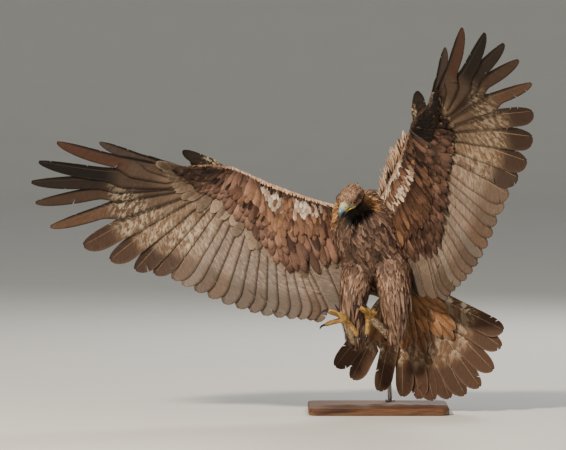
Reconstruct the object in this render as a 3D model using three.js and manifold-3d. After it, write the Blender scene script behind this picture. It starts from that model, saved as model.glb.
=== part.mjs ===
// Golden eagle coming in to land, wings spread and feet thrown forward, as a life-size still
// model on a display stand. Millimetres, +Z up. The origin is the centre of the base's
// underside. The breast faces -Y, and the bird's own left is towards +X.
import * as THREE from 'three';
import Module from 'manifold-3d';

const wasm = await Module();
wasm.setup();

const v = (x, y, z) => new THREE.Vector3(x, y, z);
const degrees = THREE.MathUtils.degToRad;

// Sizes shared by the whole bird
const gap = 0.3;
const tidy = 0.01;
const bodyCentre = v(-8, 0, 480);
const headward = v(-0.462, -0.27, 0.845).normalize();
const backward = v(0.179, 0.906, 0.387).normalize();
const leftward = v(0.87, -0.33, 0.37).normalize();

// Torso: stations along the spine, with half width, depth to the back and depth to the breast
const torsoStations = [
  { at: -152, wide: 30, back: 27, breast: 25 },
  { at: -130, wide: 58, back: 48, breast: 47 },
  { at: -98, wide: 84, back: 67, breast: 71 },
  { at: -50, wide: 103, back: 80, breast: 88 },
  { at: 10, wide: 111, back: 86, breast: 98 },
  { at: 70, wide: 108, back: 84, breast: 98 },
  { at: 118, wide: 92, back: 74, breast: 84 },
  { at: 152, wide: 66, back: 60, breast: 62 },
];
const torsoSides = 22;
const neckCut = 140;

// Neck: a curve from inside the chest to the back of the skull, with the radius at each point
const neckStations = [
  { at: v(-58, -26, 566), radius: 78 },
  { at: v(-74, -44, 604), radius: 69 },
  { at: v(-80, -70, 636), radius: 56 },
  { at: v(-78, -96, 652), radius: 45 },
  { at: v(-76, -116, 652), radius: 36 },
];
const neckSides = 16;

// Mantle: the raised left shoulder, from the nape to the root of the left wing
const mantleStations = [
  { at: v(-64, -16, 596), radius: 62 },
  { at: v(-40, -10, 614), radius: 58 },
  { at: v(-8, -4, 622), radius: 51 },
  { at: v(20, 0, 628), radius: 38 },
];
const mantleSides = 12;

// Head: turned to the bird's right and bowed; stations run from the occiput to the face
const headCentre = v(-84, -125, 645);
const headTurn = degrees(36);
const headBow = degrees(38.4);
const headStations = [
  { at: -43, wide: 10, up: 12, down: 8 },
  { at: -38, wide: 20, up: 21, down: 16 },
  { at: -26, wide: 31, up: 30, down: 26 },
  { at: -8, wide: 37, up: 34, down: 32 },
  { at: 8, wide: 37, up: 33, down: 31 },
  { at: 22, wide: 31, up: 28, down: 26 },
  { at: 33, wide: 22, up: 21, down: 20 },
  { at: 42, wide: 14.5, up: 15, down: 15 },
];
const headSides = 20;
const eye = { ahead: 20, aside: 25.5, above: 5, radius: 10.2 };
const lid = { thick: 1.6, openWide: 8.4, openHigh: 7.2 };
const browRidge = { from: 37, to: -2, above: 15, thick: 4.6, reach: 33 };
const gape = { from: 46, to: 10, below: -9.8, deep: 1.8, high: 1.3 };

// Bill: a cere, a hooked upper half and a shorter lower half
const cere = { from: 42 + gap, to: 54, wide: 13.4, high: 15.4 };
const nostril = { ahead: 49, aside: 13, above: 4.5, radius: 2.3 };
const upperBill = {
  from: 54 + gap, straight: 8, bendRadius: 21, bend: degrees(96), wide: 11.4, high: 17.5, steps: 8,
};
const lowerBill = { from: 44, to: 72, wide: 9, high: 6.5, below: -12.2 };

// Wing plan, shared by both wings: a runs out from the shoulder joint, b runs to the rear
const wing = {
  shoulder: [0, 45],
  wrist: [298, -109],
  elbow: [178, 86],
  hand: 149,
  handAngle: degrees(1.9),
  primaryAngles: [50.7, 34.2, 13.2, -1.7, -18].map(degrees),
  primaryLengths: [401, 418, 443, 478, 540, 552, 542, 502, 436, 290],
  secondaryAngles: [55.7, 82.2, 110.2].map(degrees),
  secondaryLengths: [391, 345, 298],
  primaries: 10,
  secondaries: 13,
  tertials: 3,
  bendBehind: [28, 67].map(degrees),
  bendAhead: [60, 130].map(degrees),
};

// The core of the wing from the body to the hand's tip, along a, with its front and rear edge
const wingCore = [
  { a: -45, front: 2, rear: 116, thick: 22 },
  { a: 36, front: -20, rear: 110, thick: 22 },
  { a: 130, front: -54, rear: 112, thick: 20 },
  { a: 200, front: -83, rear: 92, thick: 18 },
  { a: 252, front: -107, rear: 26, thick: 17 },
  { a: 298, front: -126, rear: -56, thick: 16 },
  { a: 370, front: -130, rear: -78, thick: 14 },
  { a: 448, front: -120, rear: -84, thick: 9 },
  { a: 474, front: -108, rear: -90, thick: 4 },
];
const coreProfile = [[0, 0], [0.06, 0.55], [0.3, 1], [0.72, 0.7], [1, 0.12]];

// Feathers: how far each vane leans so that neighbours pass under one another, and its thickness
const lean = 0.09;
const vaneThick = 0.8;
const flightVane = { outer: 20, inner: 42 };
const fingerVane = { outer: 15, inner: 46, notches: [0.66, 0.6, 0.58, 0.55, 0.52, 0.5] };
const alula = {
  a: 312, b: -116, angles: [-20.4, -14.5, -10].map(degrees), lengths: [155, 122, 90],
  outer: 13, inner: 23, height: 4, step: -2.5, droop: 6,
};
const tiers = {
  greaterUnder: {
    first: 0, every: 1, setForward: 20, lengths: [120, 168, 160, 158],
    height: -7, droop: -3, outer: 16, inner: 25,
  },
  greaterUpper: {
    first: 0, every: 3, setForward: 20, lengths: [105, 140, 135, 130],
    height: 7, droop: 1, outer: 24, inner: 30,
  },
  medianUnder: {
    first: 3, every: 3, setForward: 44, lengths: [88, 112, 118, 122],
    height: -12, droop: -4, outer: 21, inner: 25,
  },
};
const wingPoses = {
  right: {
    side: -1, shoulder: v(-138, 23, 574),
    sweep: degrees(18.4), raise: degrees(0.4), pitch: degrees(-19.2),
    handSweep: degrees(-1.7), handRaise: degrees(-6.4), handTwist: degrees(14.7),
  },
  left: {
    side: 1, shoulder: v(28, -33, 596),
    sweep: degrees(58.9), raise: degrees(23.9), pitch: degrees(16.4),
    handSweep: degrees(3.3), handRaise: degrees(-9.6), handTwist: degrees(22.5),
  },
};

// Tail: a fan of twelve feathers from a point inside the rump
const tail = {
  root: v(78, 30, 372),
  down: v(0.2, -0.04, -0.98),
  angles: [-50, -13.5, 7.1, 27.4, 54.1].map(degrees),
  lengths: [303, 326, 356, 372, 312],
  feathers: 12,
  core: [
    { at: -14, wide: 32, thick: 24 }, { at: 26, wide: 46, thick: 25 }, { at: 66, wide: 52, thick: 18 },
    { at: 96, wide: 48, thick: 11 }, { at: 114, wide: 32, thick: 5 },
  ],
  rectrix: { inner: 38, outer: 22, foot: 40, droop: -8, tilt: 0.12 },
  coverts: {
    under: {
      count: 7, from: degrees(-34), to: degrees(44), length: 214, height: -13, step: -2.2, droop: -5,
    },
    upper: {
      count: 5, from: degrees(-36), to: degrees(36), length: 158, height: 13, step: 2.2, droop: 2,
    },
    wide: 25, foot: 36, start: 20,
  },
};

// Legs: each thigh is a row of stations from the hip to the heel, and a tarsus runs from the
// heel forward and up to the sole
const legs = {
  right: {
    thigh: [
      { at: v(-40, 14, 474), radius: 30 }, { at: v(-52, -8, 440), radius: 50 },
      { at: v(-66, -56, 390), radius: 50 }, { at: v(-76, -84, 330), radius: 41 },
      { at: v(-76, -92, 266), radius: 27 }, { at: v(-70, -92, 208), radius: 14 },
    ],
    heel: v(-72, -92, 214), palm: v(-100, -148, 286), tarsusRadius: 13,
    trousers: [v(-104, -62, 206), v(-88, -50, 182), v(-62, -44, 172), v(-36, -56, 178)],
  },
  left: {
    thigh: [
      { at: v(34, -6, 484), radius: 30 }, { at: v(40, -30, 450), radius: 54 },
      { at: v(46, -70, 395), radius: 55 }, { at: v(50, -90, 330), radius: 48 },
      { at: v(50, -90, 268), radius: 34 }, { at: v(42, -84, 214), radius: 16 },
    ],
    heel: v(38, -84, 228), palm: v(-31, -146, 296), tarsusRadius: 13,
    trousers: [v(101, -66, 228), v(84, -44, 204), v(62, -34, 186), v(38, -44, 168), v(14, -60, 184)],
  },
};
const legSides = 12;
const toeEnd = 2.5;
const toeSides = 6;
const trouser = { wide: 15, rooted: 0.72 };
const toes = {
  right: [
    { name: 'inner', tip: v(-119, -186, 312), claw: v(-11, -6, 20) },
    { name: 'middle', tip: v(-150, -178, 312), claw: v(-20, -16, -16) },
    { name: 'outer', tip: v(-158, -164, 272), claw: v(-10, -26, -12) },
    { name: 'hallux', tip: v(-66, -150, 240), claw: v(10, -26, -22) },
  ],
  left: [
    { name: 'inner', tip: v(-58, -176, 322), claw: v(-20, -14, 4) },
    { name: 'middle', tip: v(-40, -188, 324), claw: v(-14, -20, 8) },
    { name: 'outer', tip: v(-12, -180, 314), claw: v(-6, -26, 10) },
    { name: 'hallux', tip: v(-36, -156, 244), claw: v(-6, -28, -16) },
  ],
};

// Stand
const base = { long: 420, wide: 320, thick: 22, corner: 28, edge: 4 };
const rod = { radius: 7, foot: v(40, 122, 22), top: v(18, 60, 470), sides: 16 };

// A closed triangle mesh as a solid
function solidFrom(points, triangles) {
  let volume = 0;
  for (const [i, j, k] of triangles) volume += points[i].dot(points[j].clone().cross(points[k]));
  const triVerts = new Uint32Array(triangles.length * 3);
  triangles.forEach(([i, j, k], n) => triVerts.set(volume > 0 ? [i, j, k] : [i, k, j], n * 3));
  const vertProperties = new Float32Array(points.length * 3);
  points.forEach((p, n) => vertProperties.set([p.x, p.y, p.z], n * 3));
  return new wasm.Manifold(new wasm.Mesh({ numProp: 3, vertProperties, triVerts }));
}

// A skin over a row of rings with equal point counts, closed by a fan at each end
function loft(rings) {
  const count = rings[0].length;
  const points = rings.flat();
  const triangles = [];
  for (let r = 0; r + 1 < rings.length; r++) {
    for (let k = 0; k < count; k++) {
      const next = (k + 1) % count;
      const a = r * count + k;
      const b = r * count + next;
      triangles.push([a, b, b + count], [a, b + count, a + count]);
    }
  }
  for (const [ring, flip] of [[0, false], [rings.length - 1, true]]) {
    const middle = points.length;
    const sum = v(0, 0, 0);
    rings[ring].forEach((p) => sum.add(p));
    points.push(sum.divideScalar(count));
    for (let k = 0; k < count; k++) {
      const a = ring * count + k;
      const b = ring * count + (k + 1) % count;
      triangles.push(flip ? [a, b, middle] : [b, a, middle]);
    }
  }
  return solidFrom(points, triangles);
}

// An oval ring that may be deeper on one side than on the other
function oval(centre, across, up, wide, high, low, count) {
  const ring = [];
  for (let k = 0; k < count; k++) {
    const turn = (2 * Math.PI * k) / count;
    const rise = Math.sin(turn);
    ring.push(centre.clone()
      .addScaledVector(across, wide * Math.cos(turn))
      .addScaledVector(up, rise > 0 ? high * rise : low * rise));
  }
  return ring;
}

// A round limb through a row of stations, each square to the way the limb runs there
function limb(stations, count, grow = 0) {
  const rings = stations.map((station, n) => {
    const before = stations[Math.max(n - 1, 0)].at;
    const after = stations[Math.min(n + 1, stations.length - 1)].at;
    const along = after.clone().sub(before).normalize();
    const across = leftward.clone().addScaledVector(along, -leftward.dot(along)).normalize();
    const up = along.clone().cross(across);
    const radius = station.radius + grow;
    return oval(station.at, across, up, radius, radius, radius, count);
  });
  return loft(rings);
}

const sizeOf = (solid) => solid.volume();
const largest = (solid) => solid.decompose().sort((p, q) => sizeOf(q) - sizeOf(p))[0];
const fuse = (solids) => largest(wasm.Manifold.union(solids).simplify(tidy));

function cutBy(solid, cutters) {
  let left = solid;
  for (const cutter of cutters) left = left.subtract(cutter);
  return largest(left.simplify(tidy));
}

// A smooth curve through evenly spaced values
function smooth(values, t) {
  const curve = new THREE.SplineCurve(values.map((value, n) => new THREE.Vector2(n, value)));
  return curve.getPoint(t).y;
}

// Torso, neck and head
function torsoSolid(grow = 0) {
  return loft(torsoStations.map(({ at, wide, back, breast }) => oval(
    bodyCentre.clone().addScaledVector(headward, at), leftward, backward,
    wide + grow, back + grow, breast + grow, torsoSides)));
}

function bodySolid(grow = 0) {
  return torsoSolid(grow).add(limb(neckStations, neckSides, grow))
    .add(limb(mantleStations, mantleSides, grow));
}

const cosBow = Math.cos(headBow);
const ahead = v(-Math.sin(headTurn) * cosBow, -Math.cos(headTurn) * cosBow, -Math.sin(headBow));
const aside = v(Math.cos(headTurn), -Math.sin(headTurn), 0);
const above = aside.clone().cross(ahead).negate();
const onHead = (x, y, z) => headCentre.clone()
  .addScaledVector(ahead, x).addScaledVector(aside, y).addScaledVector(above, z);

function skullSolid(grow = 0) {
  return loft(headStations.map(({ at, wide, up, down }) => oval(
    onHead(at, 0, 0), aside, above, wide + grow, up + grow, down + grow, headSides)));
}

const ball = (centre, radius, detail = 2) => solidFromGeometry(
  new THREE.IcosahedronGeometry(radius, detail), centre);

function solidFromGeometry(geometry, centre) {
  const position = geometry.getAttribute('position');
  const seen = new Map();
  const points = [];
  const index = [];
  for (let n = 0; n < position.count; n++) {
    const p = v(position.getX(n), position.getY(n), position.getZ(n));
    const key = p.toArray().map((c) => c.toFixed(4)).join();
    if (!seen.has(key)) {
      seen.set(key, points.length);
      points.push(p.add(centre));
    }
    index.push(seen.get(key));
  }
  const triangles = [];
  for (let n = 0; n < index.length; n += 3) triangles.push([index[n], index[n + 1], index[n + 2]]);
  return solidFrom(points, triangles);
}

function headSolid() {
  const pieces = [skullSolid()];
  for (const side of [-1, 1]) {
    const ridge = [];
    for (let n = 0; n <= 3; n++) {
      const t = n / 3;
      const x = browRidge.from + (browRidge.to - browRidge.from) * t;
      const reach = browRidge.reach * (0.52 + 0.48 * Math.sin(Math.PI * (0.12 + 0.6 * t)));
      const thick = browRidge.thick * (0.45 + 0.55 * Math.sin(Math.PI * t));
      const at = onHead(x, side * reach, browRidge.above - 3 * (1 - t));
      ridge.push(oval(at, aside, above, thick * 1.5, thick * 0.7, thick * 0.7, 7));
    }
    pieces.push(loft(ridge));
  }
  for (const side of [-1, 1]) pieces.push(eyeSolid(side, lid.thick));
  const openings = [-1, 1].map((side) => loft([0, 2 * eye.radius].map((out) => oval(
    onHead(eye.ahead, side * (eye.aside + out), eye.above), ahead, above,
    lid.openWide, lid.openHigh, lid.openHigh, 14))));
  return cutBy(fuse(pieces), [...[-1, 1].map((side) => eyeSolid(side, gap)), ...openings, gapeSlit()]);
}

// The line of the mouth, a slit round the face that reaches only a little way in
function gapeSlit() {
  const slab = loft([gape.from, gape.to].map((x) => [[1, 1], [-1, 1], [-1, -1], [1, -1]].map(
    ([side, rise]) => onHead(x, side * eye.aside * 2, gape.below + rise * gape.high / 2))));
  return slab.subtract(skullSolid(-gape.deep));
}

function eyeSolid(side, grow = 0) {
  return ball(onHead(eye.ahead, side * eye.aside, eye.above), eye.radius + grow);
}

// Cere and bill
function cereSolid() {
  const middle = (cere.from + cere.to) / 2;
  const skin = loft([cere.from, middle, cere.to].map((x, n) => oval(
    onHead(x, 0, 1.5 - n), aside, above, cere.wide - n, cere.high - n, cere.high - 5 - n * 0.4, 16)));
  return cutBy(skin, [-1, 1].map((side) => ball(
    onHead(nostril.ahead, side * nostril.aside, nostril.above), nostril.radius, 1)));
}

function upperBillSolid() {
  const rings = [];
  for (let n = 0; n <= upperBill.steps; n++) {
    const t = n / upperBill.steps;
    const bend = upperBill.bend * Math.max(0, (t - 0.22) / 0.78);
    const x = upperBill.from + upperBill.straight * Math.min(1, t / 0.22)
      + upperBill.bendRadius * Math.sin(bend);
    const z = 2 - upperBill.bendRadius * (1 - Math.cos(bend)) * 1.05;
    const size = 1 - 0.9 * Math.pow(t, 1.35);
    const up = above.clone().multiplyScalar(Math.cos(bend)).addScaledVector(ahead, Math.sin(bend));
    rings.push(oval(onHead(x, 0, z), aside, up,
      upperBill.wide * size, upperBill.high * 0.62 * size, upperBill.high * 0.5 * size, 14));
  }
  return loft(rings);
}

function lowerBillSolid() {
  const rings = [];
  for (let n = 0; n <= 4; n++) {
    const t = n / 4;
    const size = 1 - 0.75 * t * t;
    const x = lowerBill.from + (lowerBill.to - lowerBill.from) * t;
    rings.push(oval(onHead(x, 0, lowerBill.below - 1.5 * t), aside, above,
      lowerBill.wide * size, lowerBill.high * 0.4 * size, lowerBill.high * 0.6 * size, 12));
  }
  return loft(rings);
}

// Wing frames: the arm's own axes, bent at the wrist towards the hand's by a weight
function wingFrame(pose) {
  const { side, sweep, raise, pitch } = pose;
  const out = v(side * Math.cos(sweep) * Math.cos(raise),
    -Math.sin(sweep) * Math.cos(raise), Math.sin(raise));
  const rear = v(0, 0, -1).addScaledVector(out, out.z).normalize();
  rear.applyAxisAngle(out, pitch * side);
  const top = side < 0 ? rear.clone().cross(out) : out.clone().cross(rear);
  return { out, rear, top };
}

function bent(frame, pose, weight) {
  const { out, rear, top } = frame;
  const sweep = pose.handSweep * weight;
  const raise = pose.handRaise * weight;
  const twist = pose.handTwist * weight;
  const out1 = out.clone().multiplyScalar(Math.cos(sweep)).addScaledVector(rear, -Math.sin(sweep));
  const rear1 = rear.clone().multiplyScalar(Math.cos(sweep)).addScaledVector(out, Math.sin(sweep));
  const out2 = out1.clone().multiplyScalar(Math.cos(raise)).addScaledVector(top, Math.sin(raise));
  const top2 = top.clone().multiplyScalar(Math.cos(raise)).addScaledVector(out1, -Math.sin(raise));
  return {
    out: out2,
    rear: rear1.clone().multiplyScalar(Math.cos(twist)).addScaledVector(top2, Math.sin(twist)),
    top: top2.multiplyScalar(Math.cos(twist)).addScaledVector(rear1, -Math.sin(twist)),
  };
}

// How far a point of the plan follows the hand instead of the arm, by its bearing at the wrist
function handShare(a, b) {
  const bearing = Math.atan2(b - wing.wrist[1], a - wing.wrist[0]);
  const [whole, none] = bearing > 0 ? wing.bendBehind : wing.bendAhead;
  return THREE.MathUtils.clamp((none - Math.abs(bearing)) / (none - whole), 0, 1);
}

// A point of the wing plan, at a height above the feathers' own plane, in the bird's place
function wingPlacer(pose) {
  const arm = wingFrame(pose);
  const wristPoint = pose.shoulder.clone()
    .addScaledVector(arm.out, wing.wrist[0] - wing.shoulder[0])
    .addScaledVector(arm.rear, wing.wrist[1] - wing.shoulder[1]);
  return (a, b, height) => {
    const { out, rear, top } = bent(arm, pose, handShare(a, b));
    return wristPoint.clone().addScaledVector(out, a - wing.wrist[0])
      .addScaledVector(rear, b - wing.wrist[1]).addScaledVector(top, height);
  };
}

// Quill feet, directions and lengths of the flight feathers, from the hand's tip to the body
function flightFeathers() {
  const [wristA, wristB] = wing.wrist;
  const handA = wing.hand * Math.cos(wing.handAngle);
  const handB = wing.hand * Math.sin(wing.handAngle);
  const feathers = [];
  for (let n = wing.primaries - 1; n >= 0; n--) {
    const t = n / (wing.primaries - 1);
    feathers.push({
      a: wristA + handA * (0.1 + 0.9 * t),
      b: wristB + handB * (0.1 + 0.9 * t),
      angle: smooth(wing.primaryAngles, t),
      length: wing.primaryLengths[n],
    });
  }
  for (let n = 0; n < wing.secondaries; n++) {
    const t = n / (wing.secondaries - 1);
    feathers.push({
      a: wristA + (wing.elbow[0] - wristA) * (0.04 + 0.96 * t),
      b: wristB + (wing.elbow[1] - wristB) * (0.04 + 0.96 * t),
      angle: smooth(wing.secondaryAngles, t),
      length: smooth(wing.secondaryLengths, t),
    });
  }
  for (let n = 1; n <= wing.tertials; n++) {
    const t = (1.3 * n) / (wing.tertials + 1);
    feathers.push({
      a: wing.elbow[0] * (1 - t),
      b: wing.elbow[1] + (wing.shoulder[1] - wing.elbow[1]) * t,
      angle: wing.secondaryAngles[2] + degrees(1 - 3 * n),
      length: wing.secondaryLengths[2] - 14 * n,
    });
  }
  return feathers;
}

// A feather's outlines: along its length, the share of the full width ahead of and behind the shaft
const roundEnd = [
  [0, 0.2, 0.1], [0.2, 0.92, 0.8], [0.86, 0.92, 0.95], [0.96, 0.5, 0.6], [1, 0.1, 0.14],
];
const covertEnd = [[0, 0.25, 0.2], [0.42, 0.9, 0.9], [0.84, 0.9, 0.9], [1, 0.22, 0.25]];
const narrowEnd = [[0, 0.6, 0.5], [0.35, 1, 1], [0.75, 0.8, 0.8], [1, 0.16, 0.16]];
const fingerEnd = (notch) => [
  [0, 0.25, 0.1], [0.22, 0.9, 0.8], [notch - 0.09, 1, 1], [notch + 0.05, 0.78, 0.62],
  [0.9, 0.62, 0.46], [1, 0.08, 0.06],
];

// A thin vane from named edges: at each station its front and rear edge, top and underside
function vane(stations) {
  const points = stations.flat();
  const triangles = [];
  const last = stations.length - 1;
  for (let n = 0; n < last; n++) {
    const [a, b, c, d] = [0, 1, 2, 3].map((k) => n * 4 + k);
    const [e, f, g, h] = [a, b, c, d].map((k) => k + 4);
    triangles.push([a, b, f], [a, f, e], [d, g, c], [d, h, g], [b, c, g], [b, g, f], [d, a, e], [d, e, h]);
  }
  const [a, b, c, d] = [0, 1, 2, 3].map((k) => last * 4 + k);
  triangles.push([0, 3, 2], [0, 2, 1], [a, b, c], [a, c, d]);
  return solidFrom(points, triangles);
}

// One feather in the wing's plan
function planFeather(place, feather) {
  const { a, b, angle, length, outline, outer, inner, height = 0, droop = 0 } = feather;
  const tilt = feather.tilt ?? lean;
  const along = [Math.cos(angle), Math.sin(angle)];
  const ahead = [Math.sin(angle), -Math.cos(angle)];
  return vane(outline.map(([t, front, rear]) => {
    const thick = vaneThick * (1 - 0.35 * t) / 2;
    const rise = height + droop * t * t;
    const edge = (reach, h) => place(
      a + along[0] * length * t + ahead[0] * reach,
      b + along[1] * length * t + ahead[1] * reach, rise + tilt * reach + h);
    return [
      edge(front * outer, thick), edge(-rear * inner, thick),
      edge(-rear * inner, -thick), edge(front * outer, -thick),
    ];
  }));
}

function coreSolid(place) {
  const under = coreProfile.slice(1).reverse();
  return loft(wingCore.map(({ a, front, rear, thick }) => [
    ...coreProfile.map(([t, h]) => place(a, front + (rear - front) * t, thick * h)),
    ...under.map(([t, h]) => place(a, front + (rear - front) * t, -thick * h)),
  ]));
}

function wingSolid(pose) {
  const place = wingPlacer(pose);
  const pieces = [coreSolid(place)];
  const feathers = flightFeathers();
  const fingers = fingerVane.notches.length;
  feathers.forEach((feather, n) => {
    const isFinger = n < fingers;
    pieces.push(planFeather(place, {
      ...feather,
      outline: isFinger ? fingerEnd(fingerVane.notches[fingers - 1 - n]) : roundEnd,
      outer: isFinger ? fingerVane.outer : flightVane.outer,
      inner: (isFinger ? fingerVane.inner : flightVane.inner) * (n === 0 ? 0.72 : 1),
      droop: smooth([20, 8, -4, -8, -8], n / (feathers.length - 1)),
      height: -Math.max(0, fingers - n) * 0.9,
    }));
  });
  const rooted = feathers.slice(0, wing.primaries + wing.secondaries);
  for (const tier of Object.values(tiers)) {
    rooted.forEach((feather, n) => {
      if (n < tier.first || (n - tier.first) % tier.every) return;
      const { a, b, angle } = feather;
      const t = n / (rooted.length - 1);
      const onHand = n < wing.primaries;
      const forward = tier.setForward * (onHand ? 0.35 : 1);
      const depth = onHand ? 0.78 : 1;
      pieces.push(planFeather(place, {
        a: a - forward * Math.cos(angle), b: b - forward * Math.sin(angle), angle,
        length: smooth(tier.lengths, t), outline: covertEnd, outer: tier.outer, inner: tier.inner,
        height: tier.height * depth - Math.max(0, fingers - n) * 0.9, droop: tier.droop,
      }));
    });
  }
  alula.angles.forEach((angle, n) => pieces.push(planFeather(place, {
    a: alula.a + 4 * n, b: alula.b + 4 * n, angle, length: alula.lengths[n],
    outline: narrowEnd, outer: alula.outer, inner: alula.inner,
    height: alula.height + alula.step * n, droop: alula.droop,
  })));
  return fuse(pieces);
}

// Tail fan
const tailDown = tail.down.clone().normalize();
const tailLeft = leftward.clone().addScaledVector(tailDown, -leftward.dot(tailDown)).normalize();
const tailTop = tailLeft.clone().cross(tailDown);

// One feather in the tail's fan, by its angle from the middle
function tailFeather({ angle, length, outline, wide, narrow, foot, height, droop, tilt, start = 0 }) {
  const along = tailDown.clone().multiplyScalar(Math.cos(angle))
    .addScaledVector(tailLeft, Math.sin(angle));
  const lateral = tailLeft.clone().multiplyScalar(Math.cos(angle))
    .addScaledVector(tailDown, -Math.sin(angle));
  const side = angle < 0 ? -1 : 1;
  const from = tail.root.clone().addScaledVector(tailLeft, foot * Math.sin(angle))
    .addScaledVector(along, start);
  return vane(outline.map(([t, out, middle]) => {
    const thick = vaneThick * (1 - 0.35 * t) / 2;
    const rise = height + droop * t * t;
    const edge = (reach, h) => from.clone().addScaledVector(along, (length - start) * t)
      .addScaledVector(lateral, side * reach).addScaledVector(tailTop, rise + tilt * reach + h);
    return [
      edge(out * narrow, thick), edge(-middle * wide, thick),
      edge(-middle * wide, -thick), edge(out * narrow, -thick),
    ];
  }));
}

function tailSolid() {
  const { root, core, rectrix, coverts } = tail;
  const pieces = [loft(core.map(({ at, wide, thick }) => oval(
    root.clone().addScaledVector(tailDown, at), tailLeft, tailTop, wide, thick, thick, 16)))];
  for (let n = 0; n < tail.feathers; n++) {
    const t = n / (tail.feathers - 1);
    const topmost = n === tail.feathers / 2;
    pieces.push(tailFeather({
      angle: smooth(tail.angles, t), length: smooth(tail.lengths, t), outline: roundEnd,
      wide: rectrix.inner, narrow: rectrix.outer, foot: rectrix.foot,
      height: topmost ? 4 : 0, droop: rectrix.droop, tilt: topmost ? 0 : rectrix.tilt,
    }));
  }
  for (const tier of [coverts.under, coverts.upper]) {
    for (let n = 0; n < tier.count; n++) {
      const t = n / (tier.count - 1);
      pieces.push(tailFeather({
        angle: tier.from + (tier.to - tier.from) * t, outline: covertEnd,
        length: tier.length * (0.82 + 0.18 * Math.sin(Math.PI * t)), start: coverts.start,
        wide: coverts.wide, narrow: coverts.wide, foot: coverts.foot,
        height: tier.height + (n % 2) * tier.step, droop: tier.droop, tilt: 0,
      }));
    }
  }
  return fuse(pieces);
}

// Legs
const thighSolid = (leg, grow = 0) => limb(leg.thigh, legSides, grow);

// Long feathers that hang from the back of the thigh over the heel
function trouserVane(leg, tip) {
  const knee = leg.thigh[3];
  const outward = tip.clone().sub(leg.heel).setZ(0).normalize();
  const from = knee.at.clone().addScaledVector(outward, knee.radius * trouser.rooted);
  const along = tip.clone().sub(from).normalize();
  const across = along.clone().cross(outward).normalize();
  const facing = across.clone().cross(along);
  return vane(narrowEnd.map(([t, share]) => {
    const thick = vaneThick * (1 - 0.35 * t) / 2;
    const edge = (reach, h) => from.clone().lerp(tip, t).addScaledVector(across, reach)
      .addScaledVector(facing, h);
    const reach = share * trouser.wide;
    return [edge(reach, thick), edge(-reach, thick), edge(-reach, -thick), edge(reach, -thick)];
  }));
}

function trouseredThigh(leg) {
  const clear = tarsusSolid(leg, gap);
  const vanes = leg.trousers.map((tip) => trouserVane(leg, tip).subtract(clear));
  return fuse([thighSolid(leg), ...vanes]);
}

function tarsusSolid(leg, grow = 0) {
  const { heel, palm, tarsusRadius } = leg;
  return limb([
    { at: heel.clone().lerp(palm, -0.12), radius: tarsusRadius * 0.7 },
    { at: heel, radius: tarsusRadius },
    { at: heel.clone().lerp(palm, 0.5), radius: tarsusRadius },
    { at: heel.clone().lerp(palm, 0.82), radius: tarsusRadius * 0.85 },
  ], 12, grow);
}

function footSolid(leg, footToes, grow = 0) {
  const pieces = [ball(leg.palm, 15 + grow, 1)];
  for (const toe of footToes) {
    const middle = leg.palm.clone().lerp(toe.tip, 0.5);
    const along = toe.tip.clone().sub(leg.palm).normalize();
    pieces.push(limb([
      { at: leg.palm, radius: 9 }, { at: middle, radius: 7.5 }, { at: toe.tip, radius: 6.5 },
      { at: toe.tip.clone().addScaledVector(along, toeEnd), radius: 4.4 },
    ], toeSides, grow));
  }
  return fuse(pieces);
}

function clawSolid(toe, palm) {
  const along = toe.tip.clone().sub(palm).normalize();
  const start = toe.tip.clone().addScaledVector(along, toeEnd + gap);
  const bend = start.clone().addScaledVector(along, 2);
  const end = toe.tip.clone().add(toe.claw).addScaledVector(along, 8);
  const curve = new THREE.QuadraticBezierCurve3(bend, toe.tip.clone().addScaledVector(along, 20), end);
  const stations = [{ at: start, radius: 5 }];
  for (let n = 0; n <= 4; n++) stations.push({ at: curve.getPoint(n / 4), radius: 5.2 * (1 - 0.22 * n) });
  return limb(stations, 7);
}

// Stand
function roundedPlate() {
  const shape = new THREE.Shape();
  const x = base.long / 2 - base.edge;
  const y = base.wide / 2 - base.edge;
  const r = base.corner;
  shape.moveTo(-x + r, -y).lineTo(x - r, -y).absarc(x - r, -y + r, r, -Math.PI / 2, 0, false);
  shape.lineTo(x, y - r).absarc(x - r, y - r, r, 0, Math.PI / 2, false);
  shape.lineTo(-x + r, y).absarc(-x + r, y - r, r, Math.PI / 2, Math.PI, false);
  shape.lineTo(-x, -y + r).absarc(-x + r, -y + r, r, Math.PI, 1.5 * Math.PI, false);
  const geometry = new THREE.ExtrudeGeometry(shape, {
    depth: base.thick - 2 * base.edge, bevelEnabled: true, bevelThickness: base.edge,
    bevelSize: base.edge, bevelSegments: 1, curveSegments: 4,
  });
  return solidFromGeometry(geometry, v(0, 0, base.edge));
}

function rodSolid(grow = 0) {
  const { foot, top, radius, sides } = rod;
  const along = top.clone().sub(foot).normalize();
  const bar = limb([
    { at: foot.clone().addScaledVector(along, -radius), radius },
    { at: top.clone().addScaledVector(along, grow), radius },
  ], sides, grow);
  return bar.trimByPlane([0, 0, 1], base.thick + gap);
}

// Colours and finishes
function finish(colour, roughness, metalness = 0) {
  return new THREE.MeshStandardMaterial({ color: colour, roughness, metalness });
}
const plumage = finish('#5b4433', 0.85);
const flightPlumage = finish('#6d5a4c', 0.8);
const nakedSkin = finish('#d9b13c', 0.5);
const hornDark = finish('#3a3d42', 0.3);
const hornClaw = finish('#17161a', 0.3);
const iris = finish('#8a4a18', 0.1);
const wood = finish('#4a2f1e', 0.45);
const steel = finish('#b9bcc0', 0.35, 1);

const eagle = new THREE.Group();

function add(name, solid, material) {
  const { vertProperties, triVerts } = solid.getMesh();
  const geometry = new THREE.BufferGeometry();
  geometry.setAttribute('position', new THREE.BufferAttribute(vertProperties, 3));
  geometry.setIndex(new THREE.BufferAttribute(triVerts, 1));
  geometry.computeVertexNormals();
  const mesh = new THREE.Mesh(geometry, material);
  mesh.name = name;
  eagle.add(mesh);
}

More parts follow.
